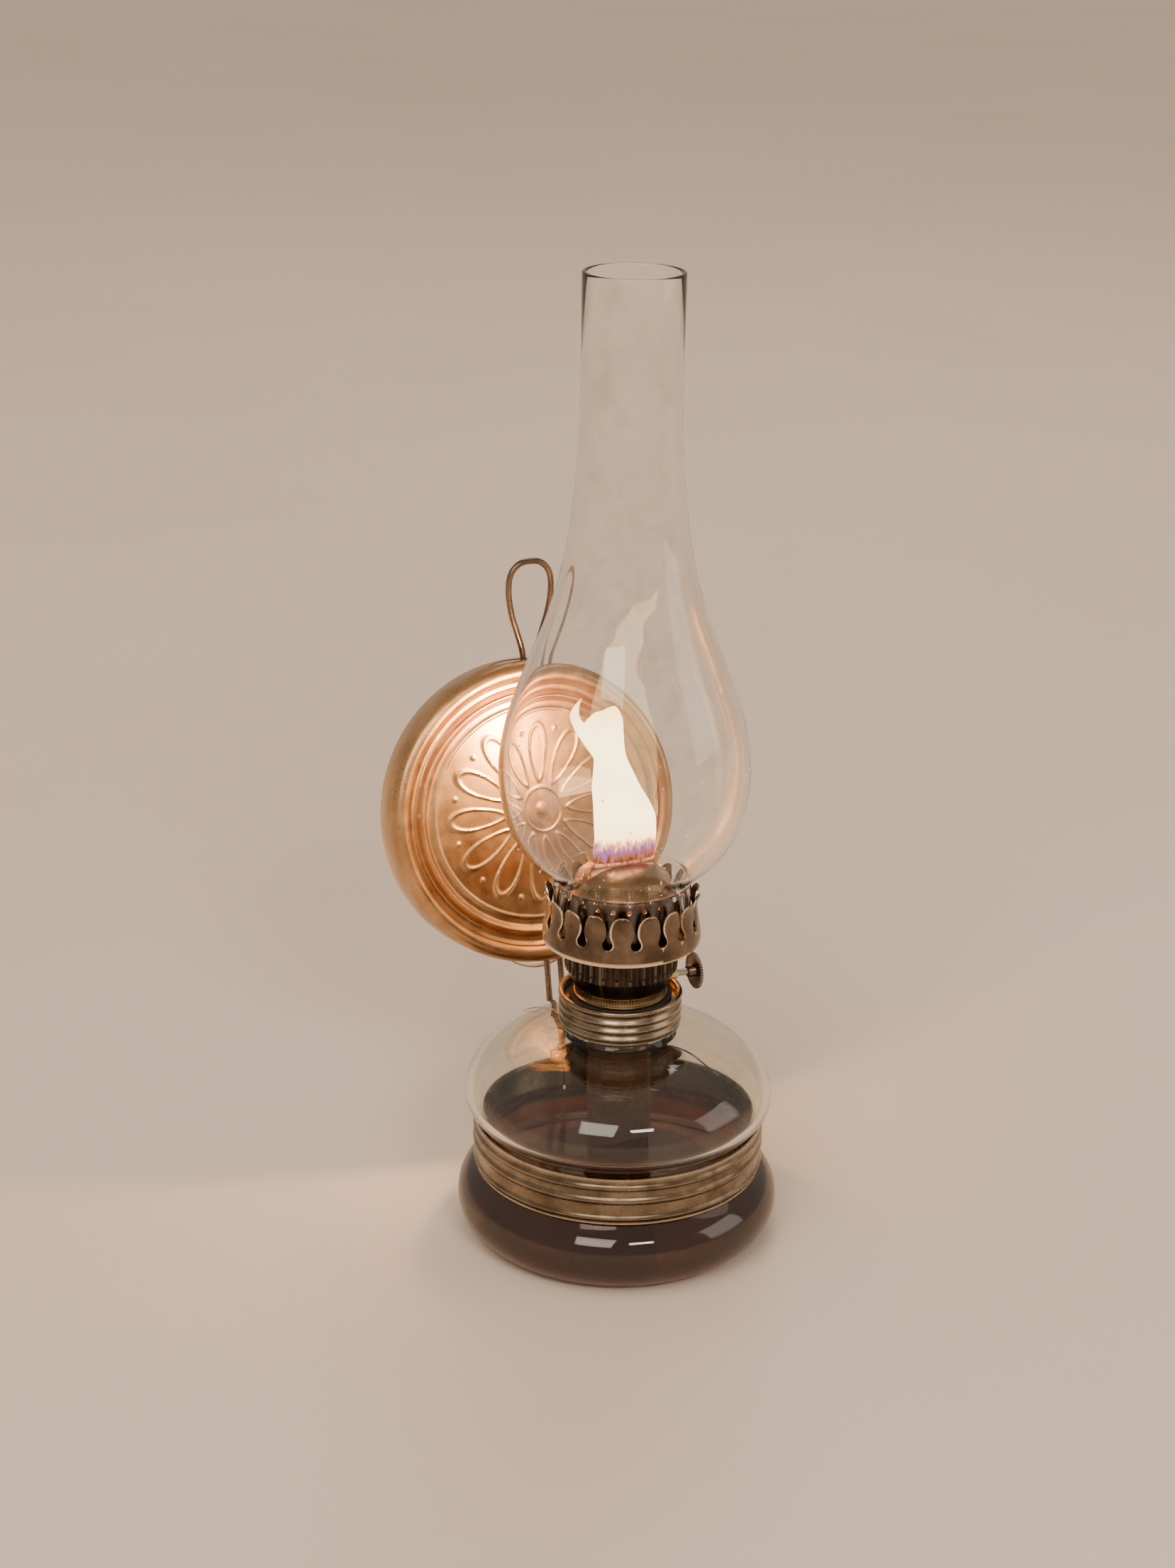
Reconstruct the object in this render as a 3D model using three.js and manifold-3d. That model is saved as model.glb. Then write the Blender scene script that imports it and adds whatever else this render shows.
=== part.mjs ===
// Wall-hung kerosene lamp: glass font, flat-wick burner, glass chimney, tin reflector and wire hanger.
//
// Millimetres, +Z up. Every piece is drawn about the lamp's upright axis with the font's foot at z = 0,
// the wall on the +Y side and the wick knob on the +X side. The whole group is then moved so that the
// origin is the point inside the wire loop that bears on the screw in the wall.
import * as THREE from 'three';
import { mergeVertices } from 'three/addons/utils/BufferGeometryUtils.js';
import Module from 'manifold-3d';

const wasm = await Module();
wasm.setup();

// ---- Driving dimensions -------------------------------------------------------------------------

const GAP = 0.3;                 // clearance between touching pieces
const SHEET = 0.5;               // thickness of the stamped tin and brass
const ROUND = 24;                // facets round a turned piece

// Font: the glass reservoir, two bulges with a waist between them
const FONT_WALL = 2.6;
const FOOT_RADIUS = 42.5;
const LOWER_BULGE = { radius: 55.5, z: 13 };
const WAIST = { radius: 48.2, low: 25, high: 42.6 };
const UPPER_BULGE = { radius: 52.8, z: 51.3 };
const SHOULDER_TOP = 73.2;
const NECK = { outer: 18.3, inner: 16, top: 84.9 };
const FUEL_LEVEL = 30;
const FUEL_WELL = 13.6;          // the burner and wick turn inside this clear column

// Neck collar: ribbed tin ring cemented on the neck, with the burner's thread inside
const COLLAR = { low: 77, top: 89.2, wall: 20.3, crest: 21, shelf: 86.1, thread: 14.95 };
const COLLAR_RIBS = [78.7, 81.6, 84.6];

// Waist band: ribbed tin strip round the waist, which carries the hanger
const BAND = { low: 25.3, high: 42, inner: 48.6, wall: 49.4, crest: 50.2 };
const BAND_RIBS = [27.5, 34, 38.8];

// Burner
const THREAD = { crest: 14.6, root: 14.1, low: 77.5, ridges: 4, pitch: 2 };
const BASE = { inner: 13.5, band: 15.5, low: 87.9, top: 91.2 };
const BASKET = { low: 91.5, cone: 97.2, top: 106.9, neck: 15.7, radius: 19 };
const FLUTES = 26;
const GALLERY = { low: 107.3, floor: 108.2, radius: 26.9, top: 125.6 };
const PETALS = 18;
const DOME = { radius: 16.9, low: 109.1, shoulder: 126.6, top: 135.2, holeZ: 123.8, holes: 20 };
const DOME_SLOT = { length: 29, width: 6.6 };
const WICK = { width: 23.6, thick: 1.8, low: 18, top: 136.2 };
const WICK_TUBE = { low: 79, top: 130.5, clearance: 0.35 };
const VENT = { y: 6.6, radius: 1.8, low: 78.5, top: 118 };

// Wick winder: spindle, two spiked wheels and the knob outside, along +X
const SPINDLE = { y: -5, z: 93.6, radius: 1.15, start: -10.5, end: 26.2 };
const WHEEL = { x: 6.2, radius: 3.75, spikes: 10, thick: 1.6 };
const KNOB = { radius: 6.3, teeth: 20, x: 25.2, thick: 1.3 };

// Chimney
const CHIMNEY = { low: 109.2, wall: 1.5, base: 23.1, bulge: 41.9, bulgeZ: 168, top: 332.5, mouth: 16.4 };

// Reflector: a round pan that leans back and hangs a little off centre on the two wire legs
const LEAN = THREE.MathUtils.degToRad(13);
const REFLECTOR = { x: -4.5, y: 67.2, z: 129.9, skirt: 54.2, depth: 11.5, ring: 38 };
const REFLECTOR_SLOT = { width: 26, height: 6.4, back: 5.6 };

// Hanger wire: two legs up from the band, behind the reflector's face, into a teardrop loop
const WIRE_RADIUS = 1.1;
const LEG_X = 2.6;
const LEG_FOOT = { z: 27, y: BAND.crest + GAP + WIRE_RADIUS + 0.4 };
const LEG_START = { y: 54.7, z: 51.3 };
const LOOP = { y: 85.4, z: 217, halfWidth: 8, low: 184 };

// ---- Geometry helpers ---------------------------------------------------------------------------

// Points on an arc in the (radius, height) plane; angles in degrees, counter-clockwise from +radius.
function arc(cx, cy, radius, from, to, steps = 4) {
  const points = [];
  for (let i = 0; i <= steps; i += 1) {
    const a = THREE.MathUtils.degToRad(from + ((to - from) * i) / steps);
    points.push([cx + radius * Math.cos(a), cy + radius * Math.sin(a)]);
  }
  return points;
}

// Welds equal corners, drops collapsed triangles and turns the faces outwards.
function tidy(geometry) {
  const bare = geometry.clone();
  for (const name of Object.keys(bare.attributes)) {
    if (name !== 'position') bare.deleteAttribute(name);
  }
  const welded = mergeVertices(bare, 1e-4);
  const position = welded.getAttribute('position');
  const index = welded.getIndex().array;
  const kept = [];
  const corners = [new THREE.Vector3(), new THREE.Vector3(), new THREE.Vector3()];
  let volume = 0;
  for (let i = 0; i < index.length; i += 3) {
    const [a, b, c] = [index[i], index[i + 1], index[i + 2]];
    if (a === b || b === c || c === a) continue;
    kept.push(a, b, c);
    [a, b, c].forEach((v, k) => corners[k].fromBufferAttribute(position, v));
    volume += corners[0].dot(corners[1].clone().cross(corners[2])) / 6;
  }
  if (volume < 0) {
    for (let i = 0; i < kept.length; i += 3) {
      [kept[i + 1], kept[i + 2]] = [kept[i + 2], kept[i + 1]];
    }
  }
  welded.setIndex(kept);
  return welded;
}

function toSolid(geometry) {
  const clean = tidy(geometry);
  const vertProperties = new Float32Array(clean.getAttribute('position').array);
  const triVerts = new Uint32Array(clean.getIndex().array);
  return new wasm.Manifold(new wasm.Mesh({ numProp: 3, vertProperties, triVerts }));
}

function fromSolid(solid) {
  const mesh = solid.getMesh();
  const geometry = new THREE.BufferGeometry();
  geometry.setAttribute('position', new THREE.BufferAttribute(new Float32Array(mesh.vertProperties), 3));
  geometry.setIndex(Array.from(mesh.triVerts));
  return geometry;
}

function cut(geometry, cutters) {
  const left = cutters.reduce((solid, cutter) => solid.subtract(toSolid(cutter)), toSolid(geometry));
  return fromSolid(left);
}

function join(geometries) {
  const [first, ...rest] = geometries.map(toSolid);
  return fromSolid(rest.reduce((solid, other) => solid.add(other), first));
}

// A turned piece: profile of [radius, height] points, on the axis at both ends or closed on itself.
function turned(profile, facets = ROUND) {
  const points = profile.map(([radius, height]) => new THREE.Vector2(radius, height));
  const onAxis = profile[0][0] === 0;
  if (!onAxis) points.push(points[0].clone());
  return new THREE.LatheGeometry(points, facets).rotateX(Math.PI / 2);
}

function outline(points) {
  return new THREE.Shape(points.map(([x, y]) => new THREE.Vector2(x, y)));
}

function circle(radius, facets = ROUND, x = 0, y = 0) {
  return Array.from({ length: facets }, (_, i) => {
    const a = (2 * Math.PI * i) / facets;
    return [x + radius * Math.cos(a), y + radius * Math.sin(a)];
  });
}

// A flat plate between two heights.
function plate(shape, low, high, curveSegments = 8) {
  const options = { depth: high - low, bevelEnabled: false, curveSegments };
  return new THREE.ExtrudeGeometry(shape, options).translate(0, 0, low);
}

// A rectangle with half-round ends along X, as a shape or as a hole.
function stadium(length, width, Kind = THREE.Shape) {
  const r = width / 2;
  const x = length / 2 - r;
  const shape = new Kind();
  shape.absarc(x, 0, r, -Math.PI / 2, Math.PI / 2, false);
  shape.absarc(-x, 0, r, Math.PI / 2, 1.5 * Math.PI, false);
  shape.closePath();
  return shape;
}

function rod(radius, from, to, sides = 12) {
  const length = from.distanceTo(to);
  const geometry = new THREE.CylinderGeometry(radius, radius, length, sides);
  const turn = new THREE.Quaternion().setFromUnitVectors(
    new THREE.Vector3(0, 1, 0),
    to.clone().sub(from).normalize(),
  );
  return geometry.applyQuaternion(turn).translate(...from.clone().add(to).multiplyScalar(0.5).toArray());
}

function alongX(radius, from, to, y, z, sides = 12) {
  return rod(radius, new THREE.Vector3(from, y, z), new THREE.Vector3(to, y, z), sides);
}

// The outside of a ribbed wall, from low to high: a small round rib at each height.
function ribbed(wall, crest, ribs) {
  const half = 1.2;
  return ribs.flatMap((z) => [[wall, z - half], [crest, z - half / 3], [crest, z + half / 3], [wall, z + half]]);
}

const lamp = new THREE.Group();

function add(name, geometry, color, roughness, metalness, extra = {}) {
  const material = new THREE.MeshStandardMaterial({ color, roughness, metalness, ...extra });
  const shown = tidy(geometry);
  shown.computeVertexNormals();
  const mesh = new THREE.Mesh(shown, material);
  mesh.name = name;
  lamp.add(mesh);
  return mesh;
}

// ---- Font, fuel and neck ------------------------------------------------------------------------

const lowerArc = LOWER_BULGE.z;

// Outside of the glass, from the foot up to the neck's lip; inset shrinks it for the inside.
function fontSide(inset) {
  const bulge = LOWER_BULGE.radius - lowerArc;
  const lower = arc(bulge, LOWER_BULGE.z, lowerArc - inset, -84, 52, 5);
  const waist = [[WAIST.radius - inset, WAIST.low], [WAIST.radius - inset, WAIST.high]];
  const upper = arc(UPPER_BULGE.radius - 9, UPPER_BULGE.z, 9 - inset, -50, 0, 2);
  const rise = SHOULDER_TOP - UPPER_BULGE.z - inset;
  const reach = UPPER_BULGE.radius - 22 - inset;
  const shoulder = [22, 44, 64, 80].map((angle) => {
    const a = THREE.MathUtils.degToRad(angle);
    return [22 + reach * Math.cos(a), UPPER_BULGE.z + rise * Math.sin(a)];
  });
  return [...lower, ...waist, ...upper, ...shoulder];
}

const fontOuter = fontSide(0);
const fontInner = fontSide(FONT_WALL);
const font = turned([
  [0, 1.4],
  [34, 1.4],
  [37, 0],
  [FOOT_RADIUS - 0.8, 0],
  ...fontOuter,
  [NECK.outer + 1.2, SHOULDER_TOP + 0.4],
  [NECK.outer, SHOULDER_TOP + 2],
  [NECK.outer, NECK.top - 0.6],
  [NECK.outer - 0.6, NECK.top],
  [NECK.inner + 0.6, NECK.top],
  [NECK.inner, NECK.top - 0.6],
  [NECK.inner, SHOULDER_TOP - 0.6],
  ...fontInner.slice().reverse(),
  [34, FONT_WALL + 1.6],
  [0, FONT_WALL + 1.9],
]);
add('font', font, 0xd9cfae, 0.05, 0, { transparent: true, opacity: 0.35 });

const fuelSide = fontSide(FONT_WALL + GAP + 0.1).filter(([, z]) => z < FUEL_LEVEL - 0.5);
const fuelFloor = FONT_WALL + 2.4;
const fuel = turned([
  [FUEL_WELL, fuelFloor],
  [FOOT_RADIUS - 8, fuelFloor],
  ...fuelSide.filter(([, z]) => z > fuelFloor),
  [WAIST.radius - FONT_WALL - GAP - 0.1, FUEL_LEVEL],
  [FUEL_WELL, FUEL_LEVEL],
]);
add('fuel', fuel, 0x3a0d06, 0.1, 0, { transparent: true, opacity: 0.8 });

const collarInside = COLLAR.wall - SHEET;
const collar = turned([
  ...ribbed(COLLAR.wall, COLLAR.crest, COLLAR_RIBS),
  ...arc(COLLAR.wall - 0.15, COLLAR.top - 1.05, 1.05, -60, 180, 6),
  [COLLAR.wall - 1, COLLAR.shelf],
  [COLLAR.thread, COLLAR.shelf],
  [COLLAR.thread, COLLAR.low],
  [COLLAR.thread + SHEET, COLLAR.low],
  [COLLAR.thread + SHEET, COLLAR.shelf - SHEET],
  [collarInside, COLLAR.shelf - SHEET],
  [collarInside, COLLAR.low + 0.1],
]);
add('neck_collar', collar, 0x9a8360, 0.4, 0.9);

const plaster = turned([
  [NECK.outer + GAP, COLLAR.low + 0.4],
  [collarInside - GAP, COLLAR.low + 0.4],
  [collarInside - GAP, COLLAR.shelf - SHEET - GAP],
  [NECK.outer + GAP, COLLAR.shelf - SHEET - GAP],
]);
add('collar_plaster', plaster, 0xd8d0bd, 0.9, 0);

const gasket = turned([
  [COLLAR.thread + 0.2, COLLAR.shelf + GAP],
  [17.6, COLLAR.shelf + GAP],
  [17.6, BASE.low - GAP],
  [COLLAR.thread + 0.2, BASE.low - GAP],
]);
add('collar_gasket', gasket, 0x2b211b, 0.8, 0);

// ---- Burner body --------------------------------------------------------------------------------

const threadSide = [];
for (let i = 0; i < THREAD.ridges; i += 1) {
  const z = THREAD.low + 0.4 + i * THREAD.pitch;
  threadSide.push([THREAD.root, z], [THREAD.crest, z + THREAD.pitch / 2]);
}
const burnerBase = turned([
  [THREAD.root, THREAD.low],
  ...threadSide,
  [THREAD.root, BASE.low - 0.2],
  [BASE.band + 0.5, BASE.low],
  [BASE.band + 0.5, BASE.low + 0.7],
  [BASE.band, BASE.low + 1],
  [BASE.band, BASE.top],
  [BASE.band - SHEET, BASE.top],
  [BASE.inner, BASE.low + 1],
  [BASE.inner, THREAD.low],
]);
add('burner_base', burnerBase, 0xa57f3e, 0.35, 0.9);

const tubeOuter = {
  length: WICK.width + 2 * (WICK_TUBE.clearance + SHEET),
  width: WICK.thick + 2 * (WICK_TUBE.clearance + SHEET),
};
const tubeInner = { length: tubeOuter.length - 2 * SHEET, width: tubeOuter.width - 2 * SHEET };

const floorDisc = plate(new THREE.Shape().absarc(0, 0, BASE.inner - GAP, 0, 2 * Math.PI, false), 80, 80.8, 24);
const ventHole = new THREE.CylinderGeometry(VENT.radius + GAP, VENT.radius + GAP, 6, 12);
const burnerFloor = cut(floorDisc, [
  plate(stadium(tubeOuter.length + 2 * GAP, tubeOuter.width + 2 * GAP), 79, 82),
  ventHole.rotateX(Math.PI / 2).translate(0, VENT.y, 80),
]);
add('burner_floor', burnerFloor, 0xa57f3e, 0.4, 0.9);

// Fluted air basket on a cone, with a narrow slot in each valley of the flutes.
const basketWall = turned([
  [BASKET.neck, BASKET.low],
  [BASKET.radius - 0.4, BASKET.cone],
  [BASKET.radius, BASKET.cone + 0.6],
  [BASKET.radius, BASKET.top],
  [BASKET.radius - 0.7, BASKET.top],
  [BASKET.radius - 0.7, BASKET.cone + 0.8],
  [BASKET.radius - 1.1, BASKET.cone + 0.2],
  [BASKET.neck - 0.7, BASKET.low],
], FLUTES * 2);
const basketCorners = basketWall.getAttribute('position');
for (let i = 0; i < basketCorners.count; i += 1) {
  const corner = new THREE.Vector3().fromBufferAttribute(basketCorners, i);
  if (corner.z < BASKET.cone + 0.5) continue;
  const angle = Math.atan2(corner.y, corner.x);
  const swell = 1 + 0.016 * Math.cos(angle * FLUTES);
  basketCorners.setXY(i, corner.x * swell, corner.y * swell);
}
const basketCuts = [alongX(2.1, 8, 30, SPINDLE.y, SPINDLE.z)];
for (let i = 0; i < FLUTES / 2; i += 1) {
  const slot = new THREE.BoxGeometry(2 * BASKET.radius + 4, 1, 5.6).translate(0, 0, 102.4);
  basketCuts.push(slot.rotateZ(((i + 0.5) * 2 * Math.PI) / FLUTES));
}
add('air_basket', cut(basketWall, basketCuts), 0x2a2320, 0.5, 0.8);

const bush = cut(alongX(1.8, 13.6, 18.6, SPINDLE.y, SPINDLE.z), [
  alongX(SPINDLE.radius + GAP, 12, 20, SPINDLE.y, SPINDLE.z),
]);
add('spindle_bush', bush, 0xa57f3e, 0.4, 0.9);

// Gallery: a cup with rounded spring petals that hold the chimney.
const galleryCup = turned([
  [17.6, GALLERY.low],
  [24.6, GALLERY.low],
  [26.3, GALLERY.low + 0.8],
  [GALLERY.radius, 109.8],
  [25.6, 121],
  [25.8, GALLERY.top],
  [25.3, GALLERY.top],
  [25.1, 121],
  [26.4, 110],
  [26, GALLERY.low + 1.2],
  [24.5, GALLERY.low + SHEET],
  [17.6, GALLERY.low + SHEET],
], PETALS * 2);

// The gap between two petals: a keyhole, a slit, and the room left by two round tips.
const pitch = (Math.PI * (GALLERY.radius - 0.2)) / PETALS;
const slit = 0.55;
const tipRadius = pitch - slit;
const tipZ = GALLERY.top - tipRadius;
const keyhole = { radius: 1.65, z: 115.3 };
const petalGap = outline([
  ...arc(0, keyhole.z, keyhole.radius, 112, 428, 5),
  [slit, tipZ],
  ...arc(pitch, tipZ, tipRadius, 155, 95, 2),
  [pitch, GALLERY.top + 3],
  [-pitch, GALLERY.top + 3],
  ...arc(-pitch, tipZ, tipRadius, 85, 25, 2),
  [-slit, tipZ],
]);
const galleryCuts = [];
for (let i = 0; i < PETALS; i += 1) {
  const wedge = new THREE.ExtrudeGeometry(petalGap, { depth: 12, bevelEnabled: false });
  wedge.rotateX(Math.PI / 2).rotateZ(Math.PI).translate(0, 20, 0);
  galleryCuts.push(wedge.rotateZ(((i + 0.85) * 2 * Math.PI) / PETALS));
}
add('gallery_crown', cut(galleryCup, galleryCuts), 0x6f553a, 0.35, 0.9);

const galleryFloorShape = outline(circle(24.6));
galleryFloorShape.holes.push(outline(circle(14.4)));
const airHoles = 12;
for (let i = 0; i < airHoles; i += 1) {
  const a = ((i + 0.5) * 2 * Math.PI) / airHoles;
  galleryFloorShape.holes.push(outline(circle(1.2, 8, 19.3 * Math.cos(a), 19.3 * Math.sin(a))));
}
add('gallery_floor', plate(galleryFloorShape, GALLERY.floor, GALLERY.floor + 0.6), 0x6f553a, 0.4, 0.9);

// ---- Wick, its tube and the dome over it --------------------------------------------------------

const tubeShape = stadium(tubeOuter.length, tubeOuter.width);
tubeShape.holes.push(stadium(tubeInner.length, tubeInner.width, THREE.Path));
const wheelWindows = [-WHEEL.x, WHEEL.x].map((x) => (
  new THREE.BoxGeometry(WHEEL.thick + 1.2, 3, 7).translate(x, -2.5, SPINDLE.z)
));
const wickTube = cut(plate(tubeShape, WICK_TUBE.low, WICK_TUBE.top, 4), wheelWindows);
add('wick_tube', wickTube, 0xa57f3e, 0.4, 0.9);

const wickShape = stadium(WICK.width, WICK.thick);
add('wick', plate(wickShape, WICK.low, WICK.top, 3), 0xe8dfc8, 0.95, 0);

const vent = turned([
  [VENT.radius - SHEET, VENT.low],
  [VENT.radius, VENT.low],
  [VENT.radius, VENT.top],
  [VENT.radius - SHEET, VENT.top],
], 12).translate(0, VENT.y, 0);
add('vent_tube', vent, 0xa57f3e, 0.4, 0.9);

// Dome cap: a drum with a ring of small holes and a rounded top, slotted for the wick.
const domeIn = DOME.radius - SHEET;
const domeShell = turned([
  [0, DOME.top - SHEET],
  [5.3, 134.4],
  [10.2, 133.1],
  [14.2, 130.8],
  [15.8, 128.8],
  [domeIn, DOME.shoulder],
  [domeIn, DOME.low],
  [DOME.radius, DOME.low],
  [DOME.radius, DOME.shoulder],
  [16.3, 129],
  [14.6, 131.2],
  [10.5, 133.6],
  [5.5, 134.9],
  [0, DOME.top],
]);
const domeCuts = [plate(stadium(DOME_SLOT.length, DOME_SLOT.width), DOME.shoulder, DOME.top + 2, 4)];
for (let i = 0; i < DOME.holes / 2; i += 1) {
  const drill = alongX(0.85, -20, 20, 0, DOME.holeZ, 6);
  domeCuts.push(drill.rotateZ(((i + 0.15) * 2 * Math.PI) / DOME.holes));
}
add('dome_cap', cut(domeShell, domeCuts), 0x6f553a, 0.4, 0.9);

// ---- Wick winder --------------------------------------------------------------------------------

const spindle = alongX(SPINDLE.radius, SPINDLE.start, SPINDLE.end, SPINDLE.y, SPINDLE.z);
add('wick_spindle', spindle, 0x6d6a64, 0.4, 0.9);

// A spiked wheel: a star outline in its own plane, bored for the spindle, turned to face along X.
function spikedWheel(x) {
  const tips = [];
  for (let i = 0; i < WHEEL.spikes * 2; i += 1) {
    const a = (i * Math.PI) / WHEEL.spikes;
    const r = i % 2 ? WHEEL.radius - 1.2 : WHEEL.radius;
    tips.push([r * Math.cos(a), r * Math.sin(a)]);
  }
  const star = outline(tips);
  star.holes.push(new THREE.Path().absarc(0, 0, SPINDLE.radius + 0.1, 0, 2 * Math.PI, true));
  return plate(star, -WHEEL.thick / 2, WHEEL.thick / 2, 4).rotateY(Math.PI / 2)
    .translate(x, SPINDLE.y, SPINDLE.z);
}
add('wick_wheel_left', spikedWheel(-WHEEL.x), 0x6d6a64, 0.4, 0.9);
add('wick_wheel_right', spikedWheel(WHEEL.x), 0x6d6a64, 0.4, 0.9);

// Knob: a thin dished disc with a notched rim and a short hub over the spindle's end.
const bore = SPINDLE.radius + 0.1;
const knobShape = turned([
  [bore, -2.6],
  [2.1, -2.6],
  [2.4, -0.1],
  [KNOB.radius, -0.3],
  [KNOB.radius, 0.7],
  [3.4, KNOB.thick],
  [bore, 0.7],
], KNOB.teeth * 2);
const knobCorners = knobShape.getAttribute('position');
for (let i = 0; i < knobCorners.count; i += 1) {
  const corner = new THREE.Vector3().fromBufferAttribute(knobCorners, i);
  if (Math.hypot(corner.x, corner.y) < KNOB.radius - 0.1) continue;
  const notch = 1 + 0.035 * Math.cos(Math.atan2(corner.y, corner.x) * KNOB.teeth);
  knobCorners.setXY(i, corner.x * notch, corner.y * notch);
}
add('wick_knob', knobShape.rotateY(Math.PI / 2).translate(KNOB.x, SPINDLE.y, SPINDLE.z), 0x4a4038, 0.4, 0.9);

// ---- Chimney ------------------------------------------------------------------------------------

// The outside of the glass, bottom to top, as a smooth curve through its driving radii.
const chimneyCurve = new THREE.SplineCurve([
  [CHIMNEY.base, 129],
  [24.2, 131.6],
  [33.2, 140],
  [39.4, 151.5],
  [CHIMNEY.bulge, CHIMNEY.bulgeZ],
  [39.6, 184.5],
  [33.4, 203],
  [26, 222],
  [20.2, 245],
  [17, 275],
  [16.2, 305],
].map(([r, z]) => new THREE.Vector2(r, z)));
const chimneySteps = 13;
const chimneyOut = [[CHIMNEY.base, CHIMNEY.low + 0.5]];
const chimneyIn = [[CHIMNEY.base - CHIMNEY.wall, CHIMNEY.low + 0.5]];
for (let i = 0; i <= chimneySteps; i += 1) {
  const at = chimneyCurve.getPoint(i / chimneySteps);
  const along = chimneyCurve.getTangent(i / chimneySteps);
  chimneyOut.push([at.x, at.y]);
  chimneyIn.push([at.x - CHIMNEY.wall * along.y, at.y + CHIMNEY.wall * along.x]);
}
const mouth = CHIMNEY.mouth - CHIMNEY.wall / 2;
const chimney = turned([
  [CHIMNEY.base - CHIMNEY.wall / 2, CHIMNEY.low],
  ...chimneyOut,
  [CHIMNEY.mouth, CHIMNEY.top - 0.7],
  [mouth, CHIMNEY.top],
  [CHIMNEY.mouth - CHIMNEY.wall, CHIMNEY.top - 0.7],
  ...chimneyIn.reverse(),
]);
add('chimney', chimney, 0xf2e6cf, 0.05, 0, { transparent: true, opacity: 0.3 });

// ---- Waist band and hanger ----------------------------------------------------------------------

// The band is a strip bent round the waist; its two ends meet under the saddle at the back.
const bandRing = turned([
  [BAND.wall, BAND.low],
  ...ribbed(BAND.wall, BAND.crest, BAND_RIBS),
  [BAND.wall, BAND.high],
  [BAND.inner, BAND.high],
  [BAND.inner, BAND.low],
], 32);
const bandSplit = new THREE.BoxGeometry(1, 10, 40).translate(0, BAND.wall, 34);
add('waist_band', cut(bandRing, [bandSplit]), 0x8f7a5c, 0.4, 0.9);

// One wire: up the left leg, round the loop and down the right leg.
function leg(z) {
  return LEG_START.y + (z - LEG_START.z) * Math.tan(LEAN);
}
const halfWire = [
  [LEG_X, LEG_FOOT.y, LEG_FOOT.z],
  [LEG_X, LEG_FOOT.y, 34],
  [LEG_X, LEG_FOOT.y + 0.2, 41],
  [LEG_X, leg(48) + 0.1, 48],
  [LEG_X, leg(60), 60],
  [LEG_X, leg(95), 95],
  [LEG_X, leg(130), 130],
  [LEG_X, leg(160), 160],
  [LEG_X, leg(176), 176],
  [LEG_X + 0.2, LOOP.y - 0.2, LOOP.low],
  [4.7, LOOP.y, LOOP.low + 7],
  [6.8, LOOP.y, LOOP.low + 14],
  [LOOP.halfWidth, LOOP.y, LOOP.low + 22],
  [LOOP.halfWidth - 0.7, LOOP.y, LOOP.low + 28.4],
  [4.3, LOOP.y, LOOP.low + 32.1],
];
const wirePoints = [
  ...halfWire.map(([x, y, z]) => new THREE.Vector3(-x, y, z)),
  new THREE.Vector3(0, LOOP.y, LOOP.z),
  ...halfWire.map(([x, y, z]) => new THREE.Vector3(x, y, z)).reverse(),
];
const wire = new THREE.ExtrudeGeometry(new THREE.Shape().absarc(0, 0, WIRE_RADIUS, 0, 2 * Math.PI, false), {
  extrudePath: new THREE.CatmullRomCurve3(wirePoints),
  steps: 62,
  bevelEnabled: false,
  curveSegments: 4,
});
add('hanger_wire', wire, 0x5a4738, 0.35, 0.9);

// Saddle: a hat-shaped strap soldered to the band, with the wire's two feet held in its channel.
const hat = { inner: LEG_X + WIRE_RADIUS + GAP, flange: 9.5, thick: 0.7 };
const hatLow = BAND.crest + GAP;
const hatTop = LEG_FOOT.y + WIRE_RADIUS + GAP;
const hatShape = outline([
  [-hat.flange, hatLow],
  [-hat.inner, hatLow],
  [-hat.inner, hatTop],
  [hat.inner, hatTop],
  [hat.inner, hatLow],
  [hat.flange, hatLow],
  [hat.flange, hatLow + hat.thick],
  [hat.inner + hat.thick, hatLow + hat.thick],
  [hat.inner + hat.thick, hatTop + hat.thick],
  [-hat.inner - hat.thick, hatTop + hat.thick],
  [-hat.inner - hat.thick, hatLow + hat.thick],
  [-hat.flange, hatLow + hat.thick],
]);
add('wire_saddle', plate(hatShape, 29, 39), 0x8f7a5c, 0.4, 0.9);

// ---- Reflector ----------------------------------------------------------------------------------

// In the pan's own frame +Z faces out of the pan and +Y is its upper edge.
const S = SHEET;
const skirt = REFLECTOR.skirt;
const back = -REFLECTOR.depth;
const pan = turned([
  [0, 0],
  [REFLECTOR.ring - 0.9, 0],
  [REFLECTOR.ring, 0.5],
  [REFLECTOR.ring + 0.9, 0],
  [40.6, 0],
  [41.4, 0.9],
  [42.8, 1],
  [43.5, 2.2],
  [44.4, 0.6],
  [47.2, 0.4],
  ...arc(50.9, 0.7, 3.1, 170, 20, 5),
  [skirt, 0.4],
  [skirt, back],
  [skirt - S, back],
  [skirt - S, 0.2],
  ...arc(50.9, 0.6, 3.1 - S, 15, 165, 4),
  [47.6, -0.1],
  [44.2, 0],
  [43.5, 1.4],
  [42.6, 0.5],
  [41.6, 0.4],
  [40.8, -S],
  [REFLECTOR.ring, -S + 0.3],
  [0, -S],
]);

// A lens-shaped slot through the skirt, at the top (side 1) and at the bottom (side -1).
function skirtSlot(side) {
  const { width, height, back: z } = REFLECTOR_SLOT;
  const lens = new THREE.Shape();
  lens.moveTo(-width / 2, -z);
  lens.quadraticCurveTo(0, -z - height, width / 2, -z);
  lens.quadraticCurveTo(0, -z + height, -width / 2, -z);
  const cutter = new THREE.ExtrudeGeometry(lens, { depth: 12, bevelEnabled: false, curveSegments: 6 });
  return cutter.rotateX(Math.PI / 2).translate(0, side * skirt + 6, 0);
}

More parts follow.
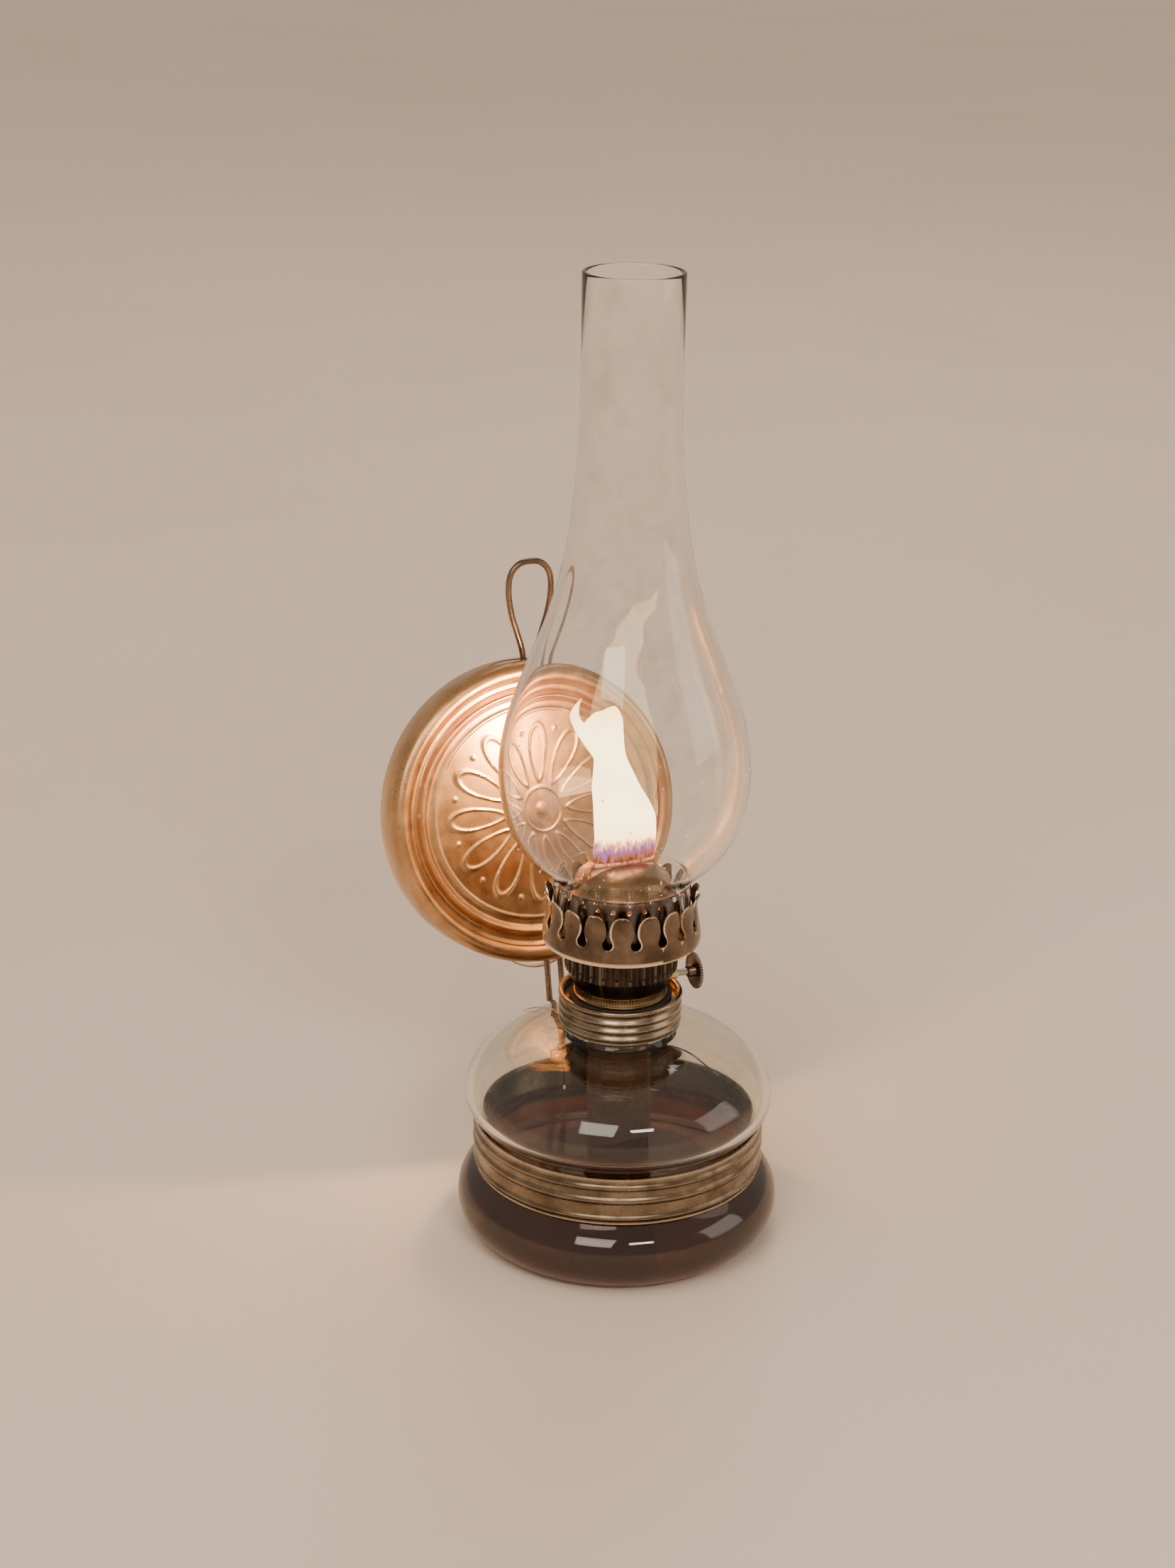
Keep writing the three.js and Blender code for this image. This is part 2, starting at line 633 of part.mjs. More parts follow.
// The strap of sheet that was lanced out of the lower slot and bulges outwards below it.
const strapDrop = 2.6;
const strapHalf = REFLECTOR_SLOT.width / 2 + 0.6;
const strapEdge = -Math.sqrt((skirt - S) ** 2 - strapHalf ** 2);
const strap = new THREE.Shape();
strap.moveTo(-strapHalf, strapEdge + 0.2);
strap.quadraticCurveTo(0, -skirt - 2 * strapDrop + 1, strapHalf, strapEdge + 0.2);
strap.lineTo(strapHalf, strapEdge - 0.4);
strap.quadraticCurveTo(0, -skirt - 2 * strapDrop, -strapHalf, strapEdge - 0.4);
const strapBand = plate(strap, back, back + 3.4, 8);

const panCut = cut(join([pan, strapBand]), [skirtSlot(1), skirtSlot(-1)]);
const reflector = add('reflector_pan', panCut, 0xb0793f, 0.3, 0.9);
reflector.position.set(REFLECTOR.x, REFLECTOR.y, REFLECTOR.z);
reflector.rotation.x = Math.PI / 2 - LEAN;

// The origin is where the loop's wire bears on the screw.
lamp.position.set(0, -LOOP.y, -(LOOP.z - WIRE_RADIUS));

export default lamp;
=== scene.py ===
"""The looks of a wall-hung kerosene lamp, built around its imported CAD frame.

Shapes are drawn in millimetres about the lamp's upright axis, with the font's foot at z = 0, the wall on
the +Y side and the wick knob on the +X side. place_mesh() then puts each one in the row frame, in metres.
"""
import math
import random

import bmesh
import bpy
import numpy as np
from mathutils import Matrix, Vector, noise


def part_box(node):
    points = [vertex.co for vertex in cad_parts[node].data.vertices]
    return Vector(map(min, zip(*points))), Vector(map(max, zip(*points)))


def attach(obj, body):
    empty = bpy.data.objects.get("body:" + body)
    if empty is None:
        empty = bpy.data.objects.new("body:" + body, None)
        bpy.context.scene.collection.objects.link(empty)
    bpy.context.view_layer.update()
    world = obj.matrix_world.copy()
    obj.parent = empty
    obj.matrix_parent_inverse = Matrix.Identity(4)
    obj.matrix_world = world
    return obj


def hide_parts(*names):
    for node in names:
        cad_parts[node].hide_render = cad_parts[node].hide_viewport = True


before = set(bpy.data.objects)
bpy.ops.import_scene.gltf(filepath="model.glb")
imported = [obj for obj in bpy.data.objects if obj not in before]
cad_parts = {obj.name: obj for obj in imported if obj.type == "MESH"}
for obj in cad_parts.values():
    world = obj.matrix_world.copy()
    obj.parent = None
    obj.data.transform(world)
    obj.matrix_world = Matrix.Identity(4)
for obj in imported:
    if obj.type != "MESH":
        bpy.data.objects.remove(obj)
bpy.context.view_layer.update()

for leftover in ("Cube", "Light", "Camera"):
    if leftover in bpy.data.objects:
        bpy.data.objects.remove(bpy.data.objects[leftover])

scene = bpy.context.scene
rng = random.Random(7)

MM = 0.001
SHEET = 0.5                       # thickness of the stamped tin and brass, mm
font_low, font_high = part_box("font")
AXIS = (font_low + font_high) / 2
FOOT = font_low.z
TO_FRAME = Matrix.Translation((AXIS.x, AXIS.y, FOOT)) @ Matrix.Scale(MM, 4)


def heights(node):
    """Lowest and highest point of a CAD node above the font's foot, in mm."""
    low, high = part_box(node)
    return (low.z - FOOT) / MM, (high.z - FOOT) / MM


def widest(node):
    """Largest radius of a turned CAD node, in mm."""
    low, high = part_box(node)
    return (high.x - low.x) / 2 / MM


# ---- Camera ---------------------------------------------------------------------------------------

CAMERA = {"distance": 843, "height": 475.5, "side": 24, "heading": 23.17, "pitch": 20.35, "roll": 0.85}
LENS = 62.3


def add_camera():
    side, heading, pitch, roll = (math.radians(CAMERA[k]) for k in ("side", "heading", "pitch", "roll"))
    forward = Vector((
        math.sin(heading) * math.cos(pitch),
        math.cos(heading) * math.cos(pitch),
        -math.sin(pitch),
    ))
    level = Vector((math.cos(heading), -math.sin(heading), 0))
    up = level.cross(forward)
    right = level * math.cos(roll) + up * math.sin(roll)
    turn = Matrix((right, right.cross(forward), -forward)).transposed()
    data = bpy.data.cameras.new("camera")
    data.lens = LENS
    data.clip_start = 0.01
    camera = bpy.data.objects.new("camera", data)
    away = CAMERA["distance"]
    spot = Vector((-away * math.sin(side), -away * math.cos(side), CAMERA["height"]))
    camera.matrix_world = Matrix.Translation(TO_FRAME @ spot) @ turn.to_4x4()
    scene.collection.objects.link(camera)
    scene.camera = camera


add_camera()


# ---- Mesh tools -----------------------------------------------------------------------------------

def mesh_piece(name, verts, faces):
    mesh = bpy.data.meshes.new(name)
    mesh.from_pydata([tuple(v) for v in verts], [], faces)
    mesh.update()
    piece = bpy.data.objects.new(name, mesh)
    scene.collection.objects.link(piece)
    return piece


def clean(piece, merge=0.0005, outward=True):
    """Welds the corners that coincide and turns the faces of a closed piece outwards."""
    bm = bmesh.new()
    bm.from_mesh(piece.data)
    bmesh.ops.remove_doubles(bm, verts=bm.verts, dist=merge)
    bmesh.ops.dissolve_degenerate(bm, edges=bm.edges, dist=merge / 10)
    if outward:
        bmesh.ops.recalc_face_normals(bm, faces=bm.faces)
    bm.to_mesh(piece.data)
    bm.free()
    return piece


def place_mesh(piece, body, stands_for=(), sharp=40):
    """Puts a finished mesh in the row frame, smooths it, and ties it to its CAD body."""
    piece.data.transform(TO_FRAME)
    piece.data.shade_smooth()
    piece.data.set_sharp_from_angle(angle=math.radians(sharp))
    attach(piece, body)
    if stands_for:
        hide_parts(*stands_for)
    return piece


def arc(cx, cy, radius, start, end, steps=8):
    angles = [math.radians(start + (end - start) * i / steps) for i in range(steps + 1)]
    return [(cx + radius * math.cos(a), cy + radius * math.sin(a)) for a in angles]


def fillet(points, radius, closed=True, steps=4):
    """Rounds the corners of an outline, by less where its sides are short."""
    out = []
    count = len(points)
    for i, point in enumerate(points):
        here = Vector(point)
        back = Vector(points[i - 1]) - here
        ahead = Vector(points[(i + 1) % count]) - here
        is_end = not closed and i in (0, count - 1)
        if is_end or min(back.length, ahead.length) < 1e-6 or back.angle(ahead) > math.radians(170):
            out.append(tuple(here))
            continue
        reach = min(radius / math.tan(back.angle(ahead) / 2), 0.45 * back.length, 0.45 * ahead.length)
        start, end = here + back.normalized() * reach, here + ahead.normalized() * reach
        for k in range(steps + 1):
            t = k / steps
            out.append(tuple(start * (1 - t) ** 2 + here * 2 * t * (1 - t) + end * t * t))
    return out


def spline(points, steps):
    """A Catmull-Rom curve through points of any dimension, with steps pieces to each span."""
    p = [np.array(q, float) for q in points]
    p = [2 * p[0] - p[1], *p, 2 * p[-1] - p[-2]]
    out = []
    for a, b, c, d in zip(p, p[1:], p[2:], p[3:]):
        for k in range(steps):
            t = k / steps
            out.append(0.5 * (2 * b + (c - a) * t + (2 * a - 5 * b + 4 * c - d) * t ** 2
                              + (3 * b - a - 3 * c + d) * t ** 3))
    out.append(p[-2])
    return out


def lathe(name, profile, segments=144, closed=True, start=0.0, sweep=360.0, radius=None, hole=None):
    """Turns a profile of (radius, z) points. radius(r, angle, z) may change each corner's radius, and
    faces whose middle has hole(angle, z) true are left out."""
    whole = sweep >= 360
    columns = segments if whole else segments + 1
    angles = [math.radians(start + sweep * k / segments) for k in range(columns)]
    verts, rings = [], []
    for r, z in profile:
        if r < 1e-6:
            rings.append([len(verts)] * columns)
            verts.append((0, 0, z))
            continue
        rings.append(list(range(len(verts), len(verts) + columns)))
        for a in angles:
            at = radius(r, a, z) if radius else r
            verts.append((at * math.cos(a), at * math.sin(a), z))
    spans = list(zip(rings, rings[1:], profile, profile[1:]))
    if closed:
        spans.append((rings[-1], rings[0], profile[-1], profile[0]))
    half_step = math.radians(sweep / segments / 2)
    faces = []
    for low, high, (_, z0), (_, z1) in spans:
        for k in range(columns if whole else columns - 1):
            if hole and hole(angles[k] + half_step, (z0 + z1) / 2):
                continue
            n = (k + 1) % columns
            face = list(dict.fromkeys([low[k], low[n], high[n], high[k]]))
            if len(face) > 2:
                faces.append(face)
    if not whole:
        faces.append([ring[0] for ring in rings])
        faces.append([ring[-1] for ring in reversed(rings)])
    return mesh_piece(name, verts, faces)


def tube(name, path, radius, sides=20):
    """A round tube along a path, with its ends closed and slightly rounded."""
    path = [Vector(p) for p in path]
    aims = [(b - a).normalized() for a, b in zip(path, path[1:])]
    aims.append(aims[-1])
    across = aims[0].orthogonal().normalized()
    verts, faces = [], []
    last = len(path) - 1
    for i, (point, aim) in enumerate(zip(path, aims)):
        across = (across - aim * across.dot(aim)).normalized()
        other = aim.cross(across)
        size = radius * (0.8 if i in (0, last) else 1)
        for k in range(sides):
            a = 2 * math.pi * k / sides
            verts.append(point + (across * math.cos(a) + other * math.sin(a)) * size)
    for i in range(last):
        for k in range(sides):
            n = (k + 1) % sides
            faces.append([i * sides + k, i * sides + n, (i + 1) * sides + n, (i + 1) * sides + k])
    faces.append(list(range(sides))[::-1])
    faces.append([last * sides + k for k in range(sides)])
    return mesh_piece(name, verts, faces)


def prism(outline, low, high):
    """Corners and faces of an upright prism over a closed outline."""
    count = len(outline)
    verts = [(x, y, low) for x, y in outline] + [(x, y, high) for x, y in outline]
    faces = [list(range(count))[::-1], list(range(count, 2 * count))]
    faces += [[k, (k + 1) % count, count + (k + 1) % count, count + k] for k in range(count)]
    return verts, faces


def gather(name, parts):
    """One mesh from several (corners, faces) lists."""
    verts, faces = [], []
    for part_verts, part_faces in parts:
        faces += [[len(verts) + i for i in face] for face in part_faces]
        verts += list(part_verts)
    return mesh_piece(name, verts, faces)


def bake_modifiers(piece):
    graph = bpy.context.evaluated_depsgraph_get()
    mesh = bpy.data.meshes.new_from_object(piece.evaluated_get(graph))
    piece.modifiers.clear()
    piece.data = mesh
    return piece


def thicken(piece, thickness=SHEET):
    """Gives an open sheet its thickness, towards the side its faces turn away from."""
    solid = piece.modifiers.new("sheet", "SOLIDIFY")
    solid.thickness = thickness
    solid.offset = -1
    return bake_modifiers(piece)


def cut(piece, cutter):
    boolean = piece.modifiers.new("cut", "BOOLEAN")
    boolean.operation = "DIFFERENCE"
    boolean.solver = "EXACT"
    boolean.object = cutter
    bake_modifiers(piece)
    bpy.data.objects.remove(cutter)
    return piece


def soften(piece, width, angle=35):
    """A small round on every sharp edge of a piece in the row frame; width in mm."""
    bevel = piece.modifiers.new("edges", "BEVEL")
    bevel.width = width * MM
    bevel.segments = 2
    bevel.limit_method = "ANGLE"
    bevel.angle_limit = math.radians(angle)
    bevel.harden_normals = True
    return piece


def stadium(length, width, steps=16):
    """Outline of a slot with round ends."""
    r = width / 2
    x = length / 2 - r
    return arc(x, 0, r, -90, 90, steps) + arc(-x, 0, r, 90, 270, steps)


# ---- Material tools -------------------------------------------------------------------------------

class Look:
    """A material with a Principled shader and helpers for its procedural nodes."""

    def __init__(self, name):
        self.material = bpy.data.materials.new(name)
        self.material.use_nodes = True
        self.tree = self.material.node_tree
        self.shader = self.tree.nodes["Principled BSDF"]
        self.where = self.tree.nodes.new("ShaderNodeTexCoord").outputs["Object"]

    def set(self, **values):
        for name, value in values.items():
            self.shader.inputs[name.replace("_", " ")].default_value = value
        return self

    def drive(self, name, output):
        self.tree.links.new(output, self.shader.inputs[name])
        return self

    def spot(self, stretch):
        """Where a point lies on the object, with its axes scaled by stretch."""
        mapping = self.tree.nodes.new("ShaderNodeMapping")
        mapping.inputs["Scale"].default_value = stretch
        self.tree.links.new(self.where, mapping.inputs["Vector"])
        return mapping.outputs["Vector"]

    def noise(self, per_metre, detail=4, rough=0.55, stretch=(1, 1, 1), twist=0.0):
        node = self.tree.nodes.new("ShaderNodeTexNoise")
        node.inputs["Scale"].default_value = per_metre
        node.inputs["Detail"].default_value = detail
        node.inputs["Roughness"].default_value = rough
        node.inputs["Distortion"].default_value = twist
        self.tree.links.new(self.spot(stretch), node.inputs["Vector"])
        return node.outputs["Fac"]

    def range(self, value, low, high, to_low=0.0, to_high=1.0):
        node = self.tree.nodes.new("ShaderNodeMapRange")
        for name, number in (("From Min", low), ("From Max", high), ("To Min", to_low), ("To Max", to_high)):
            node.inputs[name].default_value = number
        self.tree.links.new(value, node.inputs["Value"])
        return node.outputs["Result"]

    def math(self, operation, a, b):
        node = self.tree.nodes.new("ShaderNodeMath")
        node.operation = operation
        node.use_clamp = True
        for socket, value in zip(node.inputs, (a, b)):
            self.tree.links.new(value, socket)
        return node.outputs["Value"]

    def ramp(self, value, *stops):
        node = self.tree.nodes.new("ShaderNodeValToRGB")
        node.color_ramp.elements.remove(node.color_ramp.elements[1])
        for i, (at, colour) in enumerate(stops):
            stop = node.color_ramp.elements[0] if i == 0 else node.color_ramp.elements.new(at)
            stop.position = at
            stop.color = (*colour, 1)
        self.tree.links.new(value, node.inputs["Fac"])
        return node.outputs["Color"]

    def mix(self, share, a, b):
        node = self.tree.nodes.new("ShaderNodeMix")
        node.data_type = "RGBA"
        self.tree.links.new(share, node.inputs["Factor"])
        for name, value in (("A", a), ("B", b)):
            socket = next(s for s in node.inputs if s.name == name and s.type == "RGBA")
            if isinstance(value, tuple):
                socket.default_value = (*value, 1)
            else:
                self.tree.links.new(value, socket)
        return next(s for s in node.outputs if s.type == "RGBA")

    def bump(self, height, distance, strength=0.6):
        """Surface relief; distance is its height in mm."""
        node = self.tree.nodes.new("ShaderNodeBump")
        node.inputs["Strength"].default_value = strength
        node.inputs["Distance"].default_value = distance * MM
        self.tree.links.new(height, node.inputs["Height"])
        previous = self.shader.inputs["Normal"]
        if previous.is_linked:
            self.tree.links.new(previous.links[0].from_socket, node.inputs["Normal"])
        self.tree.links.new(node.outputs["Normal"], previous)
        return self

    def edges(self, low=0.52, high=0.6):
        """1 along convex edges, 0 elsewhere."""
        node = self.tree.nodes.new("ShaderNodeNewGeometry")
        return self.range(node.outputs["Pointiness"], low, high)

    def height(self, low, high):
        """0 to 1 between two heights above the font's foot, in mm."""
        node = self.tree.nodes.new("ShaderNodeSeparateXYZ")
        self.tree.links.new(self.where, node.inputs["Vector"])
        return self.range(node.outputs["Z"], FOOT + low * MM, FOOT + high * MM)


def metal(name, light, dark, polish=(0.25, 0.45), worn=None, specks=None, streak=(1, 1, 1), grain=0.02):
    """Sheet metal: cloudy tarnish from light to dark, worn edges, small specks and a fine grain."""
    look = Look(name)
    cloud = look.noise(70, 6, 0.6, twist=0.4)
    colour = look.ramp(cloud, (0.32, dark), (0.62, light))
    streaks = look.noise(420, 3, 0.5, streak)
    colour = look.mix(look.range(streaks, 0.42, 0.75, 0.0, 0.35), colour, dark)
    if specks:
        dots = look.range(look.noise(1500, 2, 0.4), 0.66, 0.7)
        patches = look.range(look.noise(120, 3, 0.5), 0.5, 0.62)
        colour = look.mix(look.math("MULTIPLY", dots, patches), colour, specks)
    if worn:
        colour = look.mix(look.edges(), colour, worn)
    look.drive("Base Color", colour)
    look.drive("Roughness", look.range(look.noise(160, 5, 0.6), 0.3, 0.7, *polish))
    look.bump(streaks, grain)
    look.set(Metallic=1.0)
    return look


# ---- Materials ------------------------------------------------------------------------------------

def glass(name, tint, waves, dirty_rough):
    """Old glass: uneven by waves mm, and clear but for patches of faint film."""
    look = Look(name)
    look.set(Transmission_Weight=1.0, IOR=1.47)
    film = look.noise(90, 5, 0.6, twist=0.5)
    haze = tuple(c * 0.86 for c in tint)
    look.drive("Base Color", look.ramp(film, (0.5, tint), (0.78, haze)))
    look.drive("Roughness", look.range(film, 0.55, 0.8, 0.0, dirty_rough))
    look.bump(look.noise(28, 2, 0.4), waves, 0.35)
    return look.material


CHIMNEY_GLASS = glass("chimney_glass", (1.0, 0.985, 0.955), 0.25, 0.05)
FONT_GLASS = glass("font_glass", (0.965, 0.93, 0.86), 0.5, 0.04)

kerosene = Look("kerosene").set(Transmission_Weight=0.88, IOR=1.44, Roughness=0.03)
kerosene.drive("Base Color", kerosene.ramp(
    kerosene.noise(40, 3, 0.5), (0.3, (0.16, 0.03, 0.012)), (0.7, (0.27, 0.07, 0.028))))
KEROSENE = kerosene.material

TIN = metal("collar_tin", (0.33, 0.265, 0.19), (0.12, 0.088, 0.058), (0.16, 0.34), worn=(0.7, 0.6, 0.46),
            specks=(0.07, 0.025, 0.012), streak=(0.4, 0.4, 6), grain=0.015).material
BAND_TIN = metal("band_tin", (0.3, 0.23, 0.155), (0.105, 0.074, 0.047), (0.16, 0.34), worn=(0.68, 0.56, 0.41),
                 specks=(0.08, 0.03, 0.012), streak=(0.4, 0.4, 6), grain=0.015).material
GALLERY = metal("gallery_brass", (0.235, 0.165, 0.11), (0.09, 0.06, 0.042), (0.17, 0.36),
                worn=(0.85, 0.68, 0.48), specks=(0.05, 0.03, 0.02), grain=0.02).material
BRASS = metal("brass", (0.52, 0.38, 0.19), (0.25, 0.16, 0.08), (0.25, 0.45), worn=(0.75, 0.58, 0.32)).material
DARK_TIN = metal("dark_tin", (0.055, 0.041, 0.031), (0.016, 0.012, 0.01), (0.24, 0.45),
                 worn=(0.16, 0.12, 0.085), grain=0.02).material
STEEL = metal("steel", (0.2, 0.175, 0.155), (0.07, 0.058, 0.05), (0.25, 0.45),
              worn=(0.5, 0.46, 0.42)).material
KNOB_TIN = metal("knob_tin", (0.24, 0.18, 0.135), (0.1, 0.07, 0.05), (0.25, 0.42),
                 worn=(0.85, 0.74, 0.6)).material
WIRE = metal("wire", (0.3, 0.2, 0.135), (0.13, 0.085, 0.055), (0.2, 0.38), specks=(0.05, 0.02, 0.01)).material


def dome_and_shade_look():
    """Heat-coloured brass, bright on top, with painted shade darkening its side below the shoulder, and sooty
    round the wick slot.
    """
    look = metal("dome_brass_painted_shade", (0.56, 0.35, 0.2), (0.3, 0.18, 0.105), (0.2, 0.38), worn=(0.8, 0.6, 0.4))
    soot = look.math("MULTIPLY", look.height(131.5, 135.5), look.range(look.noise(160, 5, 0.7), 0.42, 0.62))
    colour = look.shader.inputs["Base Color"].links[0].from_socket
    # Painted shade: below the shoulder the drum's side is darkened, as in the shadow under the flame.
    colour = look.mix(look.height(125.5, 127.6), (0.13, 0.082, 0.055), colour)
    return look.drive("Base Color", look.mix(soot, colour, (0.05, 0.035, 0.028))).material


def plaster_look():
    look = Look("plaster").set(Roughness=0.95)
    grit = look.noise(900, 5, 0.6)
    look.drive("Base Color", look.ramp(grit, (0.3, (0.52, 0.47, 0.38)), (0.7, (0.75, 0.7, 0.6))))
    return look.bump(grit, 0.08).material


def gasket_look():
    look = Look("gasket").set(Roughness=0.85)
    grit = look.noise(1400, 4, 0.6)
    look.drive("Base Color", look.ramp(grit, (0.3, (0.015, 0.011, 0.009)), (0.7, (0.04, 0.03, 0.024))))
    return look.bump(grit, 0.05).material


def wick_look(low, top):
    """Woven cotton, dark with fuel below its tube, charred at the top and glowing along its burning edge."""
    look = Look("cotton").set(Roughness=0.92, Sheen_Weight=0.25)
    weave = look.noise(2600, 2, 0.5, (1, 1, 0.5))
    cotton = look.ramp(weave, (0.3, (0.5, 0.42, 0.29)), (0.7, (0.8, 0.74, 0.6)))
    soaked = look.ramp(weave, (0.3, (0.07, 0.034, 0.016)), (0.7, (0.13, 0.066, 0.03)))
    strip = look.mix(look.height(84, 104), soaked, cotton)
    look.drive("Base Color", look.mix(look.height(top - 5, top - 2.4), strip, (0.012, 0.01, 0.009)))
    ember = look.noise(700, 3, 0.6)
    glow = look.ramp(ember, (0.35, (0.02, 0.0, 0.0)), (0.5, (0.9, 0.16, 0.03)), (0.62, (1.0, 0.42, 0.28)))
    look.drive("Emission Color", look.mix(look.height(top - 2.2, top - 0.6), (0.0, 0.0, 0.0), glow))
    look.set(Emission_Strength=2.2)
    return look.bump(weave, 0.1).material


def reflector_look():
    """Gold-lacquered tin: satin, cloudy from a darker to a warmer tone, with patches of soot."""
    look = metal("reflector_tin", (0.66, 0.385, 0.18), (0.47, 0.25, 0.11), (0.27, 0.43),
                 worn=(0.9, 0.64, 0.36), specks=(0.12, 0.05, 0.02), grain=0.015)
    colour = look.shader.inputs["Base Color"].links[0].from_socket
    smoke = look.range(look.noise(26, 4, 0.6, twist=0.6), 0.52, 0.78, 0.0, 0.55)
    return look.drive("Base Color", look.mix(smoke, colour, (0.26, 0.12, 0.055))).material


def flame_look(low, bright, high):
    """Glowing violet and pink over the wick, then yellow-white, and orange again at the tips."""
    look = Look("flame").set(Base_Color=(0, 0, 0, 1), Roughness=1.0, Specular_IOR_Level=0.0)
    wisps = look.noise(700, 3, 0.6, (1, 1, 0.3))
    root = look.ramp(
        look.math("ADD", look.height(low, bright), look.range(wisps, 0.35, 0.65, -0.22, 0.22)),
        (0.0, (0.045, 0.008, 0.003)),
        (0.25, (0.16, 0.035, 0.012)),
        (0.42, (0.09, 0.035, 0.11)),
        (0.6, (0.2, 0.06, 0.1)),
        (0.8, (0.5, 0.2, 0.1)),
        (1.0, (1.0, 0.66, 0.3)),
    )
    body = look.ramp(
        look.height(bright - 1, high),
        (0.0, (1.0, 0.62, 0.26)),
        (0.12, (1.0, 0.76, 0.4)),
        (0.78, (1.0, 0.76, 0.4)),
        (0.95, (1.0, 0.56, 0.18)),
        (1.0, (0.95, 0.4, 0.1)),
    )
    look.drive("Emission Color", look.mix(look.height(bright - 1.2, bright + 0.6), root, body))
    return look.set(Emission_Strength=6.0).material


def dust_and_glow_look():
    """Pale dust, with a painted glow in its emission that stands for the flame's light caught on the specks.
    """
    look = Look("dust").set(Roughness=0.9, Emission_Color=(1, 0.74, 0.5, 1), Emission_Strength=0.45)
    colour = look.ramp(look.noise(3000, 2), (0.3, (0.5, 0.42, 0.32)), (0.7, (0.85, 0.78, 0.66)))
    return look.drive("Base Color", colour).material


# ---- Font, fuel, collar and waist band --------------------------------------------------------------

FONT_WALL = 2.6
FUEL_LEVEL = heights("fuel")[1]
LOWER_BULGE = {"radius": widest("font"), "z": 13}
UPPER_BULGE = {"radius": 52.8, "z": 51.3, "round": 9}
WAIST = {"radius": 48.2, "low": 25, "high": 42.6}
SHOULDER_TOP = 73.2
SHOULDER_HUB = 22                 # radius that the shoulder's curve is swung about
NECK = {"outer": 18.3, "inner": 16, "top": heights("font")[1]}


def font_side(inset):
    """The font's side from the foot up to the neck; inset shrinks it for the inside of the glass."""
    round_low = LOWER_BULGE["z"]
    lower = arc(LOWER_BULGE["radius"] - round_low, round_low, round_low - inset, -84, 52, 26)
    waist = [(WAIST["radius"] - inset, WAIST["low"]), (WAIST["radius"] - inset, WAIST["high"])]
    bend = UPPER_BULGE["round"]
    upper = arc(UPPER_BULGE["radius"] - bend, UPPER_BULGE["z"], bend - inset, -50, 0, 10)
    rise = SHOULDER_TOP - UPPER_BULGE["z"] - inset
    reach = UPPER_BULGE["radius"] - SHOULDER_HUB - inset
    shoulder = []
    for step in range(1, 21):
        a = math.radians(84 * step / 20)
        shoulder.append((SHOULDER_HUB + reach * math.cos(a), UPPER_BULGE["z"] + rise * math.sin(a)))
    return fillet(lower + waist + upper + shoulder, 1.6, closed=False, steps=3)


def shoulder_point(radius, angle):
    """A point on the outside of the shoulder, and the way out of the glass there."""
    reach = UPPER_BULGE["radius"] - SHOULDER_HUB
    rise = SHOULDER_TOP - UPPER_BULGE["z"]
    lean = math.acos(max(-1, min(1, (radius - SHOULDER_HUB) / reach)))
    z = UPPER_BULGE["z"] + rise * math.sin(lean)
    out = Vector((math.cos(lean) / reach, math.sin(lean) / rise)).normalized()
    turn = Vector((math.cos(angle), math.sin(angle), 0))
    return turn * radius + Vector((0, 0, z)), turn * out.x + Vector((0, 0, out.y))


def build_font():
    inside = font_side(FONT_WALL)[::-1]
    neck = fillet([(19.6, SHOULDER_TOP + 0.4), (NECK["outer"], SHOULDER_TOP + 2),
                   (NECK["outer"], NECK["top"]), (NECK["inner"], NECK["top"]),
                   (NECK["inner"], SHOULDER_TOP - 1)], 0.8, closed=False)
    foot = [(0, 1.4), (33, 1.4), (34.6, 1.25), (36, 0.55), (37, 0.1), (38.2, 0), (41, 0)]
    floor = [(33, FONT_WALL + 1.7), (0, FONT_WALL + 1.9)]
    font = lathe("font_glass", foot + font_side(0) + neck + inside + floor, 192, closed=False)
    clean(font)
    font.data.materials.append(FONT_GLASS)
    place_mesh(font, "lamp", ["font"])

    # The seam of the mould runs down both sides of the shoulder.
    seam_start, seam_end = 20.5, 41.5
    for side, angle in (("near", 301), ("far", 121)):
        points = []
        for step in range(31):
            r = seam_start + (seam_end - seam_start) * step / 30
            point, out = shoulder_point(r, math.radians(angle + 1.2 * math.sin(step / 5)))
            points.append(point + out * 0.05)
        seam = tube("mould_seam_" + side, points, 0.32, 8)
        seam.data.materials.append(FONT_GLASS)
        place_mesh(clean(seam), "lamp")


def build_fuel():
    # The liquid reaches a little into the glass, so that no film of air shines between the two.
    sunk = 0.15
    wall = [p for p in font_side(FONT_WALL - sunk) if p[1] < FUEL_LEVEL]
    edge = WAIST["radius"] - FONT_WALL + sunk
    surface = [(edge, FUEL_LEVEL), (edge, FUEL_LEVEL + 0.9), (edge - 0.5, FUEL_LEVEL + 0.45),
               (edge - 1.4, FUEL_LEVEL + 0.12), (edge - 3, FUEL_LEVEL), (0, FUEL_LEVEL)]
    floor = [(0, FONT_WALL + 1.7), (33, FONT_WALL + 1.5)]
    fuel = clean(lathe("kerosene", floor + wall + surface, 160, closed=False))
    fuel.data.materials.append(KEROSENE)
    place_mesh(fuel, "lamp", ["fuel"])


def rib(wall, crest, z, half=1.25, steps=10):
    """One round rib standing out of a wall, from below to above."""
    points = []
    for k in range(steps + 1):
        t = 2 * k / steps - 1
        points.append((wall + (crest - wall) * (0.5 + 0.5 * math.cos(math.pi * t)), z + half * t))
    return points


